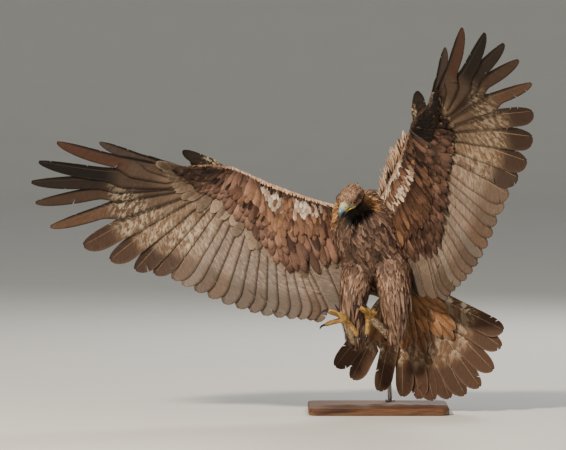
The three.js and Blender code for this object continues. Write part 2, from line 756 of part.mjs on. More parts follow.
const body = bodySolid();
const grownBody = bodySolid(gap);
const cutHeight = headward.dot(bodyCentre) + neckCut;
const headwardArray = headward.toArray();
const neckPart = largest(body.trimByPlane(headwardArray, cutHeight + gap / 2));
const torsoPart = largest(body.trimByPlane(headwardArray.map((c) => -c), -cutHeight + gap / 2));

add('stand_base', roundedPlate(), wood);
add('stand_rod', rodSolid(), steel);
add('torso', cutBy(torsoPart, [rodSolid(gap)]), plumage);
add('neck', cutBy(neckPart, [skullSolid(gap)]), plumage);
add('head', headSolid(), plumage);
add('eye_right', eyeSolid(-1), iris);
add('eye_left', eyeSolid(1), iris);
add('cere', cereSolid(), nakedSkin);
add('bill_upper', upperBillSolid(), hornDark);
add('bill_lower', cutBy(lowerBillSolid(), [skullSolid(gap)]), hornDark);

const grownThighs = { right: thighSolid(legs.right, gap), left: thighSolid(legs.left, gap) };
const bothThighs = Object.values(grownThighs);
add('tail', cutBy(tailSolid(), [grownBody, ...bothThighs]), flightPlumage);
for (const side of ['right', 'left']) {
  const leg = legs[side];
  add(`wing_${side}`, cutBy(wingSolid(wingPoses[side]), [grownBody, ...bothThighs]), flightPlumage);
  const inTheWay = side === 'left' ? [grownBody, grownThighs.right] : [grownBody];
  add(`thigh_${side}`, cutBy(trouseredThigh(leg), inTheWay), plumage);
  add(`tarsus_${side}`, cutBy(tarsusSolid(leg), [grownThighs[side], grownBody]), plumage);
  add(`foot_${side}`, cutBy(footSolid(leg, toes[side]), [tarsusSolid(leg, gap)]), nakedSkin);
  for (const toe of toes[side]) {
    add(`claw_${side}_${toe.name}`, clawSolid(toe, leg.palm), hornClaw);
  }
}

export default eagle;
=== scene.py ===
# Golden eagle coming in to land, as a life-size still model on a plain display stand.
# Lengths in the dictionaries are millimetres, as the bird was drawn; the meshes are in metres.
import math

import bmesh
import bpy
import numpy as np
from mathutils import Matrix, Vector
from mathutils.bvhtree import BVHTree
from mathutils.kdtree import KDTree


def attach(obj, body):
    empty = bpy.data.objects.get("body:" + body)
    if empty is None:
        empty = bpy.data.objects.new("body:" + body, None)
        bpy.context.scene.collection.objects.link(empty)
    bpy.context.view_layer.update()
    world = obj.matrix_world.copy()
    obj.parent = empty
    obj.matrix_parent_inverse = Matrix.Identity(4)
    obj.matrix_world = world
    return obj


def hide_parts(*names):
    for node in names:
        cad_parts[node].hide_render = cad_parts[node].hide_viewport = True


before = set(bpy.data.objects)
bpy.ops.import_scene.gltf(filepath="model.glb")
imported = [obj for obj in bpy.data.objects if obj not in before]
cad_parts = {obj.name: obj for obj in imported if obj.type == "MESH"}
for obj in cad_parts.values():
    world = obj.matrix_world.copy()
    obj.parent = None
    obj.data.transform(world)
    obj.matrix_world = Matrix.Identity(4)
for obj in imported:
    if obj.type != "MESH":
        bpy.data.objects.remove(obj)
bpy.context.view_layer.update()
print("frame loaded")

mm = 0.001
rng = np.random.default_rng(23)


# Small helpers
def unit(vectors):
    vectors = np.asarray(vectors, float)
    return vectors / np.maximum(np.linalg.norm(vectors, axis=-1, keepdims=True), 1e-9)


def turned(vector, axis, angle):
    axis = unit(axis)
    part = axis * np.dot(axis, vector)
    return part + (vector - part) * math.cos(angle) + np.cross(axis, vector) * math.sin(angle)


def smooth(values, t):
    # a smooth curve through evenly spaced values
    values = np.asarray(values, float)
    last = len(values) - 1
    x = np.clip(np.asarray(t, float), 0, 1) * last
    i = np.minimum(x.astype(int), last - 1)
    f = x - i
    p0 = values[np.maximum(i - 1, 0)]
    p1 = values[i]
    p2 = values[i + 1]
    p3 = values[np.minimum(i + 2, last)]
    return 0.5 * (2 * p1 + (p2 - p0) * f + (2 * p0 - 5 * p1 + 4 * p2 - p3) * f ** 2
                  + (3 * p1 - p0 - 3 * p2 + p3) * f ** 3)


def ease(low, high, x):
    t = np.clip((np.asarray(x, float) - low) / (high - low), 0, 1)
    return t * t * (3 - 2 * t)


def mixed(one, two, share):
    share = np.asarray(share, float)[..., None]
    return np.asarray(one) * (1 - share) + np.asarray(two) * share


def layered(tints, base, *layers):
    # colours laid over each other, each by its share; a name stands for its colour in the table
    colour = tints[base] if isinstance(base, str) else base
    for layer, share in layers:
        colour = mixed(colour, tints[layer] if isinstance(layer, str) else layer, share)
    return colour


def linear(text):
    # an sRGB hex colour as linear red, green and blue
    values = np.array([int(text[i:i + 2], 16) for i in (1, 3, 5)]) / 255
    return np.where(values <= 0.04045, values / 12.92, ((values + 0.055) / 1.055) ** 2.4)


def tintsOf(shades):
    # a table of hex colours, single ones or rows of them, as linear values
    return {key: linear(value) if isinstance(value, str) else np.array([linear(text) for text in value])
            for key, value in shades.items()}


def link(data, name):
    item = bpy.data.objects.new(name, data)
    bpy.context.scene.collection.objects.link(item)
    return item


def meshFrom(name, points, faces):
    # points in millimetres, faces as rows of equal length
    mesh = bpy.data.meshes.new(name)
    faces = np.asarray(faces, np.int32)
    sides = faces.shape[1]
    mesh.vertices.add(len(points))
    mesh.vertices.foreach_set("co", (np.asarray(points, np.float32) * mm).ravel())
    mesh.loops.add(faces.size)
    mesh.loops.foreach_set("vertex_index", faces.ravel())
    mesh.polygons.add(len(faces))
    mesh.polygons.foreach_set("loop_start", np.arange(0, faces.size, sides, dtype=np.int32))
    mesh.polygons.foreach_set("use_smooth", np.ones(len(faces), bool))
    mesh.update(calc_edges=True)
    mesh.validate()
    return mesh


def addValues(mesh, **values):
    # one number for each point under each name
    for key, value in values.items():
        mesh.attributes.new(key, "FLOAT", "POINT").data.foreach_set("value", value.astype(np.float32))


def circle(count):
    return np.arange(count) * 2 * math.pi / count


def bandFaces(rows, around):
    # quads between rows of points, each row closing on itself
    index = np.arange(rows * around).reshape(rows, around)
    follow = np.roll(index, -1, 1)
    return np.stack([index[:-1], follow[:-1], follow[1:], index[1:]], -1).reshape(-1, 4)


def closedTube(grid, around):
    # rows of points as a tube, each end capped at its own middle
    rows = len(grid) // around
    first, top = len(grid), len(grid) - around
    caps = []
    for k in range(0, around, 2):
        one, two = (k + 1) % around, (k + 2) % around
        caps += [(two, one, k, first), (top + k, top + one, top + two, first + 1)]
    middles = grid.reshape(rows, around, 3)[[0, -1]].mean(1)
    return np.vstack([grid, middles]), np.vstack([bandFaces(rows, around), caps])


def joined(meshes):
    # several lists of points and faces as one
    points, faces = [], []
    for somePoints, someFaces in meshes:
        faces.append(someFaces + sum(len(p) for p in points))
        points.append(somePoints)
    return np.vstack(points), np.vstack(faces)


def applyModifiers(piece):
    bpy.context.view_layer.update()
    evaluated = piece.evaluated_get(bpy.context.evaluated_depsgraph_get())
    mesh = bpy.data.meshes.new_from_object(evaluated)
    piece.modifiers.clear()
    piece.data = mesh
    return mesh


# Camera at the photo's angle, soft light and a pale floor
stage = {
    "target": (-285, 0, 561), "distance": 12000, "elevation": 2, "fov": 8.09, "clip": 200,
    "floor": "#d9d6cf", "floorShade": "#d3d0c9", "air": "#dfe3e6", "airStrength": 0.52,
    "floorRadius": 21000, "sweep": 5000, "wallHeight": 16000, "around": 72,
    # place and aim in metres, width of the disk, watts and colour
    "lights": {
        "key": ((-3.2, -4.6, 4.4), (-0.1, 0, 0.5), 0.8, 660, "#fff1dc"),
        "fill": ((4.2, -3.8, 1.8), (0, 0, 0.5), 3.4, 45, "#e8f0ff"),
        "rim": ((1.4, 4.2, 3.6), (0, 0, 0.6), 2.0, 150, "#ffffff"),
    },
}


def addCamera():
    camera = link(bpy.data.cameras.new("camera"), "camera")
    camera.data.sensor_width = 36
    camera.data.lens = 18 / math.tan(math.radians(stage["fov"]) / 2)
    camera.data.clip_end = stage["clip"]
    lift = math.radians(stage["elevation"])
    away = Vector((0, -math.cos(lift), math.sin(lift))) * stage["distance"] * mm
    camera.location = Vector(stage["target"]) * mm + away
    camera.rotation_euler = (-away).to_track_quat("-Z", "Y").to_euler()
    bpy.context.scene.camera = camera


def addLight(name, place, aim, size, power, tint):
    lamp = link(bpy.data.lights.new(name, "AREA"), name)
    lamp.data.shape = "DISK"
    lamp.data.size = size
    lamp.data.energy = power
    lamp.data.color = linear(tint)
    lamp.location = place
    lamp.rotation_euler = (Vector(aim) - Vector(place)).to_track_quat("-Z", "Y").to_euler()


def addStudio():
    for name, light in stage["lights"].items():
        addLight(name, *light)
    world = bpy.data.worlds.new("studio air")
    bpy.context.scene.world = world
    world.use_nodes = True
    background = world.node_tree.nodes["Background"]
    background.inputs["Color"].default_value = (*linear(stage["air"]), 1)
    background.inputs["Strength"].default_value = stage["airStrength"]
    # a round floor that turns up into a wall on all sides, wider than any view of the bird
    flat, bend, high, around = (stage[key] for key in ("floorRadius", "sweep", "wallHeight", "around"))
    a = np.linspace(0, math.pi / 2, 12)
    reach = np.concatenate([[0.5 * flat, flat], flat + bend * np.sin(a[1:]), [flat + bend]])
    lift = np.concatenate([[0, 0], bend - bend * np.cos(a[1:]), [high]])
    turn = circle(around)
    rings = np.stack([np.outer(reach, np.cos(turn)), np.outer(reach, np.sin(turn)),
                      np.repeat(lift[:, None], around, 1)], -1)
    points = np.vstack([rings.reshape(-1, 3), [(0, 0, 0)]])
    faces = bandFaces(len(reach), around)[:, ::-1]
    middle = [(k, k + 1, (k + 2) % around, len(points) - 1) for k in range(0, around, 2)]
    floor = link(meshFrom("floor", points, np.vstack([faces, middle])), "floor")
    floor.data.materials.append(paintedFloor())


def setNode(tree, node, given):
    # a node's own settings, its fixed inputs and the sockets that feed it
    for key, value in given.items():
        if isinstance(value, bpy.types.NodeSocket):
            tree.links.new(value, node.inputs[key])
        elif key == "stops":
            marks = node.color_ramp.elements
            while len(marks) < len(value):
                marks.new(0.5)
            for mark, (place, colour) in zip(marks, value):
                mark.position = place
                mark.color = (*linear(colour), 1)
        elif isinstance(key, str) and hasattr(node, key):
            setattr(node, key, value)
        else:
            node.inputs[key].default_value = value


def addNode(tree, kind, given=None, out=0):
    # adds one node and gives back the output that is read from it
    node = tree.nodes.new(kind)
    setNode(tree, node, given or {})
    return node.outputs[out] if node.outputs else None


def newMaterial(name):
    material = bpy.data.materials.new(name)
    material.use_nodes = True
    tree = material.node_tree
    return material, tree, tree.nodes["Principled BSDF"]


def paintedFloor():
    # matt emulsion on board, rolled: even and without gloss
    material, tree, shader = newMaterial("rolledMattPaint")
    place = addNode(tree, "ShaderNodeTexCoord", out="Object")
    grain = addNode(tree, "ShaderNodeTexNoise", {"Scale": 3.0, "Detail": 3.0, "Vector": place})
    low, high = ((*linear(stage[key]), 1) for key in ("floorShade", "floor"))
    tone = addNode(tree, "ShaderNodeMix", {"data_type": "RGBA", 0: grain, 6: low, 7: high}, 2)
    setNode(tree, shader, {"Base Color": tone, "Roughness": 0.85})
    return material


addCamera()
addStudio()
print("camera and studio ready")


# The bird's frames: body, head, wings and tail
body = {
    "centre": (-8, 0, 480), "headward": (-0.462, -0.27, 0.845), "backward": (0.179, 0.906, 0.387),
    "leftward": (0.87, -0.33, 0.37),
    # place along the spine, half width, depth to the back and depth to the breast
    "stations": [
        (-152, 30, 27, 25), (-130, 58, 48, 47), (-98, 84, 67, 71), (-50, 103, 80, 88),
        (10, 111, 86, 98), (70, 108, 84, 98), (118, 92, 74, 84), (152, 66, 60, 62),
    ],
    "coat": 7,
}
neck = {
    "stations": [
        ((-58, -26, 566), 78), ((-74, -44, 602), 68), ((-78, -70, 628), 53),
        ((-78, -96, 640), 42), ((-76, -116, 644), 33),
    ],
    "coat": 8,
}
mantle = {
    "stations": [((-64, -16, 596), 62), ((-40, -10, 614), 58), ((-8, -4, 622), 51), ((20, 0, 628), 38)],
    "coat": 9,
}
head = {
    "centre": (-84, -125, 645), "turn": 36, "bow": 38.4,
    # place ahead of the centre, half width, height and depth
    "stations": [
        (-43, 10, 12, 8), (-38, 20, 21, 16), (-26, 31, 30, 26), (-8, 37, 34, 32), (8, 37, 33, 31),
        (22, 31, 28, 26), (33, 22, 21, 20), (42, 14.5, 15, 15),
    ],
    "coat": 3,
}
legs = {
    "right": {
        "thigh": [
            ((-40, 14, 474), 30), ((-52, -8, 440), 50), ((-66, -56, 390), 50), ((-76, -84, 330), 41),
            ((-76, -92, 266), 27), ((-70, -92, 208), 14),
        ],
        "heel": (-72, -92, 214), "palm": (-100, -148, 286),
    },
    "left": {
        "thigh": [
            ((34, -6, 484), 30), ((40, -30, 450), 54), ((46, -70, 395), 55), ((50, -90, 330), 48),
            ((50, -90, 268), 34), ((42, -84, 214), 16),
        ],
        "heel": (38, -84, 228), "palm": (-31, -146, 296),
    },
    "coat": 6, "tarsusRadius": 13, "tarsusCoat": 2.5,
}

bodyCentre = np.array(body["centre"], float)
headward = unit(body["headward"])
backward = unit(body["backward"])
leftward = unit(body["leftward"])
headCentre = np.array(head["centre"], float)
headTurn = math.radians(head["turn"])
headBow = math.radians(head["bow"])
ahead = np.array([-math.sin(headTurn) * math.cos(headBow),
                  -math.cos(headTurn) * math.cos(headBow), -math.sin(headBow)])
aside = np.array([math.cos(headTurn), -math.sin(headTurn), 0])
above = -np.cross(aside, ahead)


def onHead(x, y, z):
    x, y, z = (np.asarray(c, float)[..., None] for c in (x, y, z))
    return headCentre + ahead * x + aside * y + above * z


# A part of the body is a row of rings: centres, two directions across and three half sizes
def ringsOf(centres, across, up, wide, high=None, low=None):
    count = len(centres)
    high = wide if high is None else high
    low = high if low is None else low
    return {
        "centre": np.array(centres, float),
        "across": np.broadcast_to(across, (count, 3)),
        "up": np.broadcast_to(up, (count, 3)),
        "wide": np.array(wide, float), "high": np.array(high, float), "low": np.array(low, float),
    }


def limbRings(stations, shrink):
    centres = np.array([place for place, _ in stations], float)
    radii = np.array([radius for _, radius in stations], float) - shrink
    along = unit(np.gradient(centres, axis=0))
    across = unit(leftward - along * (along @ leftward)[:, None])
    return ringsOf(centres, across, np.cross(along, across), radii)


def torsoRings(shrink):
    at, wide, back, breast = np.array(body["stations"], float).T
    centres = bodyCentre + headward * at[:, None]
    return ringsOf(centres, leftward, backward, wide - shrink, back - shrink, breast - shrink)


def headRings(shrink):
    at, wide, up, down = np.array(head["stations"], float).T
    return ringsOf(onHead(at, 0 * at, 0 * at), aside, above, wide - shrink, up - shrink, down - shrink)


def tarsusStations(leg):
    heel = np.array(leg["heel"], float)
    palm = np.array(leg["palm"], float)
    radius = legs["tarsusRadius"]
    shares = [(-0.12, 0.7), (0, 1), (0.5, 1), (0.86, 0.85), (1, 0.7)]
    return [(heel + (palm - heel) * share, radius * size) for share, size in shares]


def smoothLine(points, t):
    return np.stack([smooth(points[:, k], t) for k in range(3)], -1)


def ringPoint(rings, s, turn):
    # the surface at a place along the rings and a turn about them
    t = np.asarray(s, float) / (len(rings["centre"]) - 1)
    centre, across, up = (smoothLine(rings[key], t) for key in ("centre", "across", "up"))
    rise = np.sin(turn)
    deep = np.where(rise > 0, smooth(rings["high"], t), smooth(rings["low"], t))
    wide = smooth(rings["wide"], t)
    return centre + across * (wide * np.cos(turn))[..., None] + up * (deep * rise)[..., None]


def loftMesh(rings, around, between):
    last = len(rings["centre"]) - 1
    s = np.linspace(0, last, last * between + 1)
    return closedTube(ringPoint(rings, np.repeat(s, around), np.tile(circle(around), len(s))), around)


# The wing's plan, shared by both wings: a runs out from the shoulder and b runs to the rear
wing = {
    "shoulder": (0, 45), "wrist": (298, -109), "elbow": (178, 86), "hand": 149, "handAngle": 1.9,
    "primaryAngles": (50.7, 34.2, 13.2, -1.7, -18),
    "primaryLengths": (401, 418, 443, 478, 540, 552, 542, 502, 436, 290),
    "secondaryAngles": (55.7, 82.2, 110.2), "secondaryLengths": (391, 345, 298),
    "secondaries": 13, "tertials": 3, "bendBehind": (28, 67), "bendAhead": (60, 130),
    # place along a, front edge, rear edge and half thickness of flesh and bone
    "core": [
        (-45, 2, 116, 22), (36, -20, 110, 22), (130, -54, 112, 20), (200, -83, 92, 18),
        (252, -107, 26, 17), (298, -126, -56, 16), (370, -130, -78, 14), (448, -120, -84, 9),
        (474, -108, -90, 4),
    ],
    "profile": [(0, 0), (0.06, 0.55), (0.3, 1), (0.72, 0.7), (1, 0.12)],
    "coat": 4, "lean": 0.09,
}
wingPoses = {
    "right": {
        "side": -1, "shoulder": (-138, 23, 574), "sweep": 18.4, "raise": 0.4, "pitch": -19.2,
        "handSweep": -1.7, "handRaise": -6.4, "handTwist": 14.7,
    },
    "left": {
        "side": 1, "shoulder": (28, -33, 596), "sweep": 58.9, "raise": 23.9, "pitch": 16.4,
        "handSweep": 3.3, "handRaise": -9.6, "handTwist": 22.5,
    },
}


def handShare(a, b):
    # how far a point of the plan follows the hand instead of the arm, by its bearing at the wrist
    bearing = np.degrees(np.arctan2(b - wing["wrist"][1], a - wing["wrist"][0]))
    whole = np.where(bearing > 0, wing["bendBehind"][0], wing["bendAhead"][0])
    none = np.where(bearing > 0, wing["bendBehind"][1], wing["bendAhead"][1])
    return np.clip((none - np.abs(bearing)) / (none - whole), 0, 1)


def wingAxes(pose):
    sweep = math.radians(pose["sweep"])
    lift = math.radians(pose["raise"])
    out = np.array([pose["side"] * math.cos(sweep) * math.cos(lift),
                    -math.sin(sweep) * math.cos(lift), math.sin(lift)])
    rear = unit(np.array([0, 0, -1.0]) + out * out[2])
    rear = turned(rear, out, math.radians(pose["pitch"]) * pose["side"])
    top = np.cross(rear, out) if pose["side"] < 0 else np.cross(out, rear)
    return out, rear, top


def inWing(pose, a, b, height):
    # points of the plan at a height above the feathers' own plane, in the bird's place
    a, b, height = np.broadcast_arrays(*(np.asarray(c, float) for c in (a, b, height)))
    out, rear, top = wingAxes(pose)
    share = handShare(a, b)
    sweep, lift, twist = (np.radians(pose[key]) * share for key in ("handSweep", "handRaise", "handTwist"))
    cos, sin = (lambda x: np.cos(x)[..., None]), (lambda x: np.sin(x)[..., None])
    out1 = out * cos(sweep) - rear * sin(sweep)
    rear1 = rear * cos(sweep) + out * sin(sweep)
    out2 = out1 * cos(lift) + top * sin(lift)
    top1 = top * cos(lift) - out1 * sin(lift)
    rear2 = rear1 * cos(twist) + top1 * sin(twist)
    top2 = top1 * cos(twist) - rear1 * sin(twist)
    wrist = np.array(pose["shoulder"], float) + out * (wing["wrist"][0] - wing["shoulder"][0]) \
        + rear * (wing["wrist"][1] - wing["shoulder"][1])
    return wrist + out2 * (a - wing["wrist"][0])[..., None] \
        + rear2 * (b - wing["wrist"][1])[..., None] + top2 * height[..., None]


coreAt, coreFront, coreRear, coreThick = np.array(wing["core"], float).T


def frontEdge(a):
    return np.interp(a, coreAt, coreFront)


def rearEdge(a):
    return np.interp(a, coreAt, coreRear)


def coreHeight(a, b, shrink=0):
    # half thickness of the wing's core under a point of the plan, nothing beyond its edges
    t = (b - frontEdge(a)) / (rearEdge(a) - frontEdge(a))
    places, heights = np.array(wing["profile"]).T
    return np.maximum(np.interp(t, places, heights) * np.interp(a, coreAt, coreThick) - shrink, 0.6)


def coreLoft(pose):
    shrink, stations, half = wing["coat"], 40, 12
    a = np.linspace(coreAt[0], coreAt[-1] - 2, stations)
    t = np.concatenate([np.linspace(0, 1, half), np.linspace(1, 0, half)[1:-1]]) ** 1.5
    sign = np.repeat([1.0, -1.0], [half, half - 2])
    frontLine = frontEdge(a) + shrink
    rearLine = rearEdge(a) - shrink
    aGrid = np.repeat(a, len(t))
    bGrid = (frontLine[:, None] + (rearLine - frontLine)[:, None] * t).ravel()
    height = coreHeight(aGrid, bGrid, shrink) * np.tile(sign, len(a))
    return closedTube(inWing(pose, aGrid, bGrid, height), len(t))


# The tail's fan
tail = {
    "root": (78, 30, 372), "down": (0.2, -0.04, -0.98),
    "angles": (-50, -13.5, 7.1, 27.4, 54.1), "lengths": (303, 326, 356, 372, 312), "feathers": 12,
    "core": [(-14, 32, 24), (26, 46, 25), (66, 52, 18), (96, 48, 11), (114, 32, 5)],
    "inner": 38, "outer": 22, "foot": 40, "droop": -8, "tilt": 0.12, "coat": 4,
}
tailRoot = np.array(tail["root"], float)
tailDown = unit(tail["down"])
tailLeft = unit(leftward - tailDown * (leftward @ tailDown))
tailTop = np.cross(tailLeft, tailDown)


def tailRings(shrink):
    at, wide, thick = np.array(tail["core"], float).T
    centres = tailRoot + tailDown * at[:, None]
    return ringsOf(centres, tailLeft, tailTop, wide - shrink, np.maximum(thick - shrink, 1.5))


# One skin under the whole coat, lying inside the solids by the coat's depth
skinSettings = {"voxel": 3.2, "smoothing": 6, "around": 32, "between": 5}


def skinParts():
    parts = {
        "torso": torsoRings(body["coat"]),
        "neck": limbRings(neck["stations"], neck["coat"]),
        "mantle": limbRings(mantle["stations"], mantle["coat"]),
        "head": headRings(head["coat"]),
        "tail": tailRings(tail["coat"]),
    }
    for side in ("right", "left"):
        parts["thigh_" + side] = limbRings(legs[side]["thigh"], legs["coat"])
        parts["tarsus_" + side] = limbRings(tarsusStations(legs[side]), legs["tarsusCoat"])
    return parts


def makeSkin(parts):
    lofts = [loftMesh(rings, skinSettings["around"], skinSettings["between"]) for rings in parts.values()]
    lofts += [coreLoft(pose) for pose in wingPoses.values()]
    skin = link(meshFrom("skin", *joined(lofts)), "skin")
    remesh = skin.modifiers.new("one surface", "REMESH")
    remesh.mode = "VOXEL"
    remesh.voxel_size = skinSettings["voxel"] * mm
    relax = skin.modifiers.new("relax", "SMOOTH")
    relax.iterations = skinSettings["smoothing"]
    relax.factor = 0.5
    mesh = applyModifiers(skin)
    mesh.polygons.foreach_set("use_smooth", np.ones(len(mesh.polygons), bool))
    return skin


parts = skinParts()
skin = makeSkin(parts)
skinTree = BVHTree.FromPolygons(
    [v.co.copy() for v in skin.data.vertices], [tuple(p.vertices) for p in skin.data.polygons])
print("skin", len(skin.data.polygons), "faces")


# Feathers: closed thin blades whose rows run out along the barbs, gathered into one mesh a coat
barbSlant = 0.8  # how far a barb runs towards the tip for each millimetre away from the shaft
vaneUnit = 100  # mm of a vane for one unit of its map
patch = 0.003  # side of a small feather's patch in the bake's map
vane = {
    # the last row's place and how far the rows crowd towards the tip
    "end": 0.99, "crowding": 1.15, "halvings": 14,
    # splits: where they may start, over what share they spread, their gap in mm and greatest depth
    "splitFrom": 0.35, "splitOver": 0.6, "splitGap": 2.4, "splitDepth": 0.6,
}
outlines = {
    "round": {"root": 0.2, "rootEnd": 0.2, "tipFrom": 0.84, "tipPower": 2.2},
    "covert": {"root": 0.35, "rootEnd": 0.35, "tipFrom": 0.66, "tipPower": 2.3},
    "leaf": {"root": 0.3, "rootEnd": 0.4, "tipFrom": 0.4, "tipPower": 1.7},
    "lance": {"root": 0.4, "rootEnd": 0.25, "tipFrom": 0.2, "tipPower": 1.15},
    "finger": {"root": 0.22, "rootEnd": 0.2, "tipFrom": 0.7, "tipPower": 1.9, "narrow": (0.78, 0.62)},
}


def newCoat():
    keys = ("points", "faces", "dye", "seed", "marble", "blotch", "vane", "bake", "shift", "rim")
    return {key: [] for key in keys}


def outlineShare(shape, side, t):
    share = shape["root"] + (1 - shape["root"]) * ease(0, shape["rootEnd"], t)
    if "notch" in shape:
        step = ease(shape["notch"] - 0.08, shape["notch"] + 0.05, t)
        share = share * (1 - (1 - shape["narrow"][side]) * step)
    u = np.clip((t - shape["tipFrom"]) / (1 - shape["tipFrom"]), 0, 1)
    return share * np.sqrt(np.maximum(1 - u ** shape["tipPower"], 0))


def vaneGrid(length, front, rear, shape, rows, columns, splits=0):
    # x runs across each vane and y along it; a split parts the barbs at an edge
    count = len(length)
    length, front, rear = (
        np.broadcast_to(np.asarray(c, float), count)[:, None] for c in (length, front, rear))
    each = np.arange(count)
    t = np.tile(vane["end"] * (1 - (1 - np.linspace(0, 1, rows)) ** vane["crowding"]), (count, 1))
    keep = np.ones((2, count, rows))
    for n in range(splits):
        low, high = (int(rows * (vane["splitFrom"] + vane["splitOver"] * k / splits)) for k in (n, n + 1))
        row = rng.integers(low + 2, high, count)
        gap = vane["splitGap"] / length[:, 0]
        t[each, row - 1] = t[each, row] - gap
        t[each, row + 1] = t[each, row] + gap
        keep[rng.integers(0, 2, count), each, row] -= vane["splitDepth"] * rng.random(count) ** 2
    reach = []
    for side, wide in enumerate((front, rear)):
        low = np.zeros(t.shape)
        high = low + wide
        for _ in range(vane["halvings"]):
            middle = (low + high) / 2
            inside = wide * outlineShare(shape, side, t + barbSlant * middle / length) > middle
            low = np.where(inside, middle, low)
            high = np.where(inside, high, middle)
        reach.append(low * keep[side])
    q = np.linspace(-1, 1, columns)
    x = np.where(q > 0, reach[0][..., None] * q, reach[1][..., None] * q)
    y = (t * length)[..., None] + barbSlant * np.abs(x)
    across = (x + rear[..., None]) / (front + rear)[..., None]
    return {"x": x, "y": y, "q": q, "t": y / length[..., None], "across": across}


def gridFaces(rows, columns):
    top = np.arange(rows * columns).reshape(rows, columns)
    low = top.copy()
    low[1:-1, 1:-1] = rows * columns + np.arange((rows - 2) * (columns - 2)).reshape(rows - 2, -1)
    upper, lower = (np.stack([g[:-1, :-1], g[:-1, 1:], g[1:, 1:], g[1:, :-1]], -1).reshape(-1, 4)
                    for g in (top, low))
    return upper, lower[:, ::-1]


def store(coat, **values):
    for key, value in values.items():
        coat[key].append(value)


def addVanes(coat, grid, put, over, bake, under=None, size=(patch, patch), seed=None, marble=0, blotch=0,
             shift=0, camber=0, ruffle=0, thick=0.5, flip=False, topShare=1):
    # over and under are the colours of the two faces, bake the corner of each vane's patch
    x, y, share = grid["x"], grid["y"], np.abs(grid["q"])
    count, rows, columns = x.shape
    under = over if under is None else under
    seed = rng.uniform(0, 90, count) if seed is None else seed
    relief = rng.normal(0, 1, (count, rows, 1)) * ruffle * share - camber * share ** 2
    inner = np.zeros((rows, columns))
    inner[1:-1, 1:-1] = thick / 2

    def packed(upper, lower):
        upper = np.broadcast_to(upper, (count, rows, columns) + upper.shape[3:])
        lower = np.broadcast_to(lower, upper.shape)[:, 1:-1, 1:-1]
        width = upper.shape[3:]
        both = [face.reshape(count, -1, *width) for face in (upper, lower)]
        return np.concatenate(both, 1).reshape(-1, *width)

    def single(value, topShare=1):
        value = np.asarray(value, float)
        value = value.reshape(value.shape + (1,) * (3 - value.ndim)) if value.ndim else value
        value = np.broadcast_to(value, x.shape)
        return packed(value * topShare, value)

    rim = np.ones((count, rows, columns))
    rim[:, 1:-1, 1:-1] = 0
    points = packed(put(x, y, relief + inner), put(x, y, relief - inner))
    first = sum(len(p) for p in coat["points"])
    upper, lower = gridFaces(rows, columns)
    faces = np.vstack([upper, lower])
    if flip:
        faces = faces[:, ::-1]
    faces = (faces[None] + first + len(points) // count * np.arange(count)[:, None, None]).reshape(-1, 4)
    below = np.tile(np.repeat([0.0, 1.0], [len(upper), len(lower)]), count)
    vaneMap = np.stack([x, y - barbSlant * np.abs(x)], -1) / vaneUnit
    place = np.stack([grid["across"], np.clip(grid["t"], 0, 1)], -1)
    bakeMap = np.asarray(bake, float)[:, None, None] + place * np.asarray(size, float)
    over, under = (np.broadcast_to(c, x.shape + (3,)) for c in (over, under))
    store(coat, points=points, faces=faces, dye=packed(over, under), seed=single(seed),
          marble=single(marble, topShare), blotch=single(blotch, topShare), vane=packed(vaneMap, vaneMap),
          bake=packed(bakeMap, bakeMap), shift=below * shift, rim=packed(rim, rim))


def coatObject(name, coat, material):
    points, faces, dye, seed, marble, blotch, vaneMap, bakeMap, shift, rim = (
        np.concatenate(coat[key]) for key in coat)
    mesh = meshFrom(name, points, faces)
    loops = faces.ravel()
    colour = np.ones((len(points), 4), np.float32)
    colour[:, :3] = np.clip(dye, 0, 1)
    mesh.attributes.new("dye", "FLOAT_COLOR", "POINT").data.foreach_set("color", colour.ravel())
    addValues(mesh, seed=seed, marble=marble, blotch=blotch)
    mesh.uv_layers.new(name="vane").uv.foreach_set("vector", vaneMap[loops].astype(np.float32).ravel())
    baked = bakeMap[loops]
    baked[:, 0] += np.repeat(shift, 4)
    mesh.uv_layers.new(name="OFBake").uv.foreach_set("vector", baked.astype(np.float32).ravel())
    ends = np.empty(2 * len(mesh.edges), np.int32)
    mesh.edges.foreach_get("vertices", ends)
    sharp = (rim[ends.reshape(-1, 2)] > 0.5).all(1)
    mesh.attributes.new("sharp_edge", "BOOLEAN", "EDGE").data.foreach_set("value", sharp)
    mesh.materials.append(material)
    return link(mesh, name)


# Keratin barbs, brown with melanin and unpolished: soft sheen along the barbs, no mirror gloss
plumageLook = {
    "barb": 3.2,      # mm between drawn barbs; real ones stand 0.4 mm apart, too fine to show
    "marbleSize": 7,   # mm
    "pale": "#a8988a", "cream": "#c8b89e", "speck": "#523a29", "roughness": (0.54, 0.72),
}


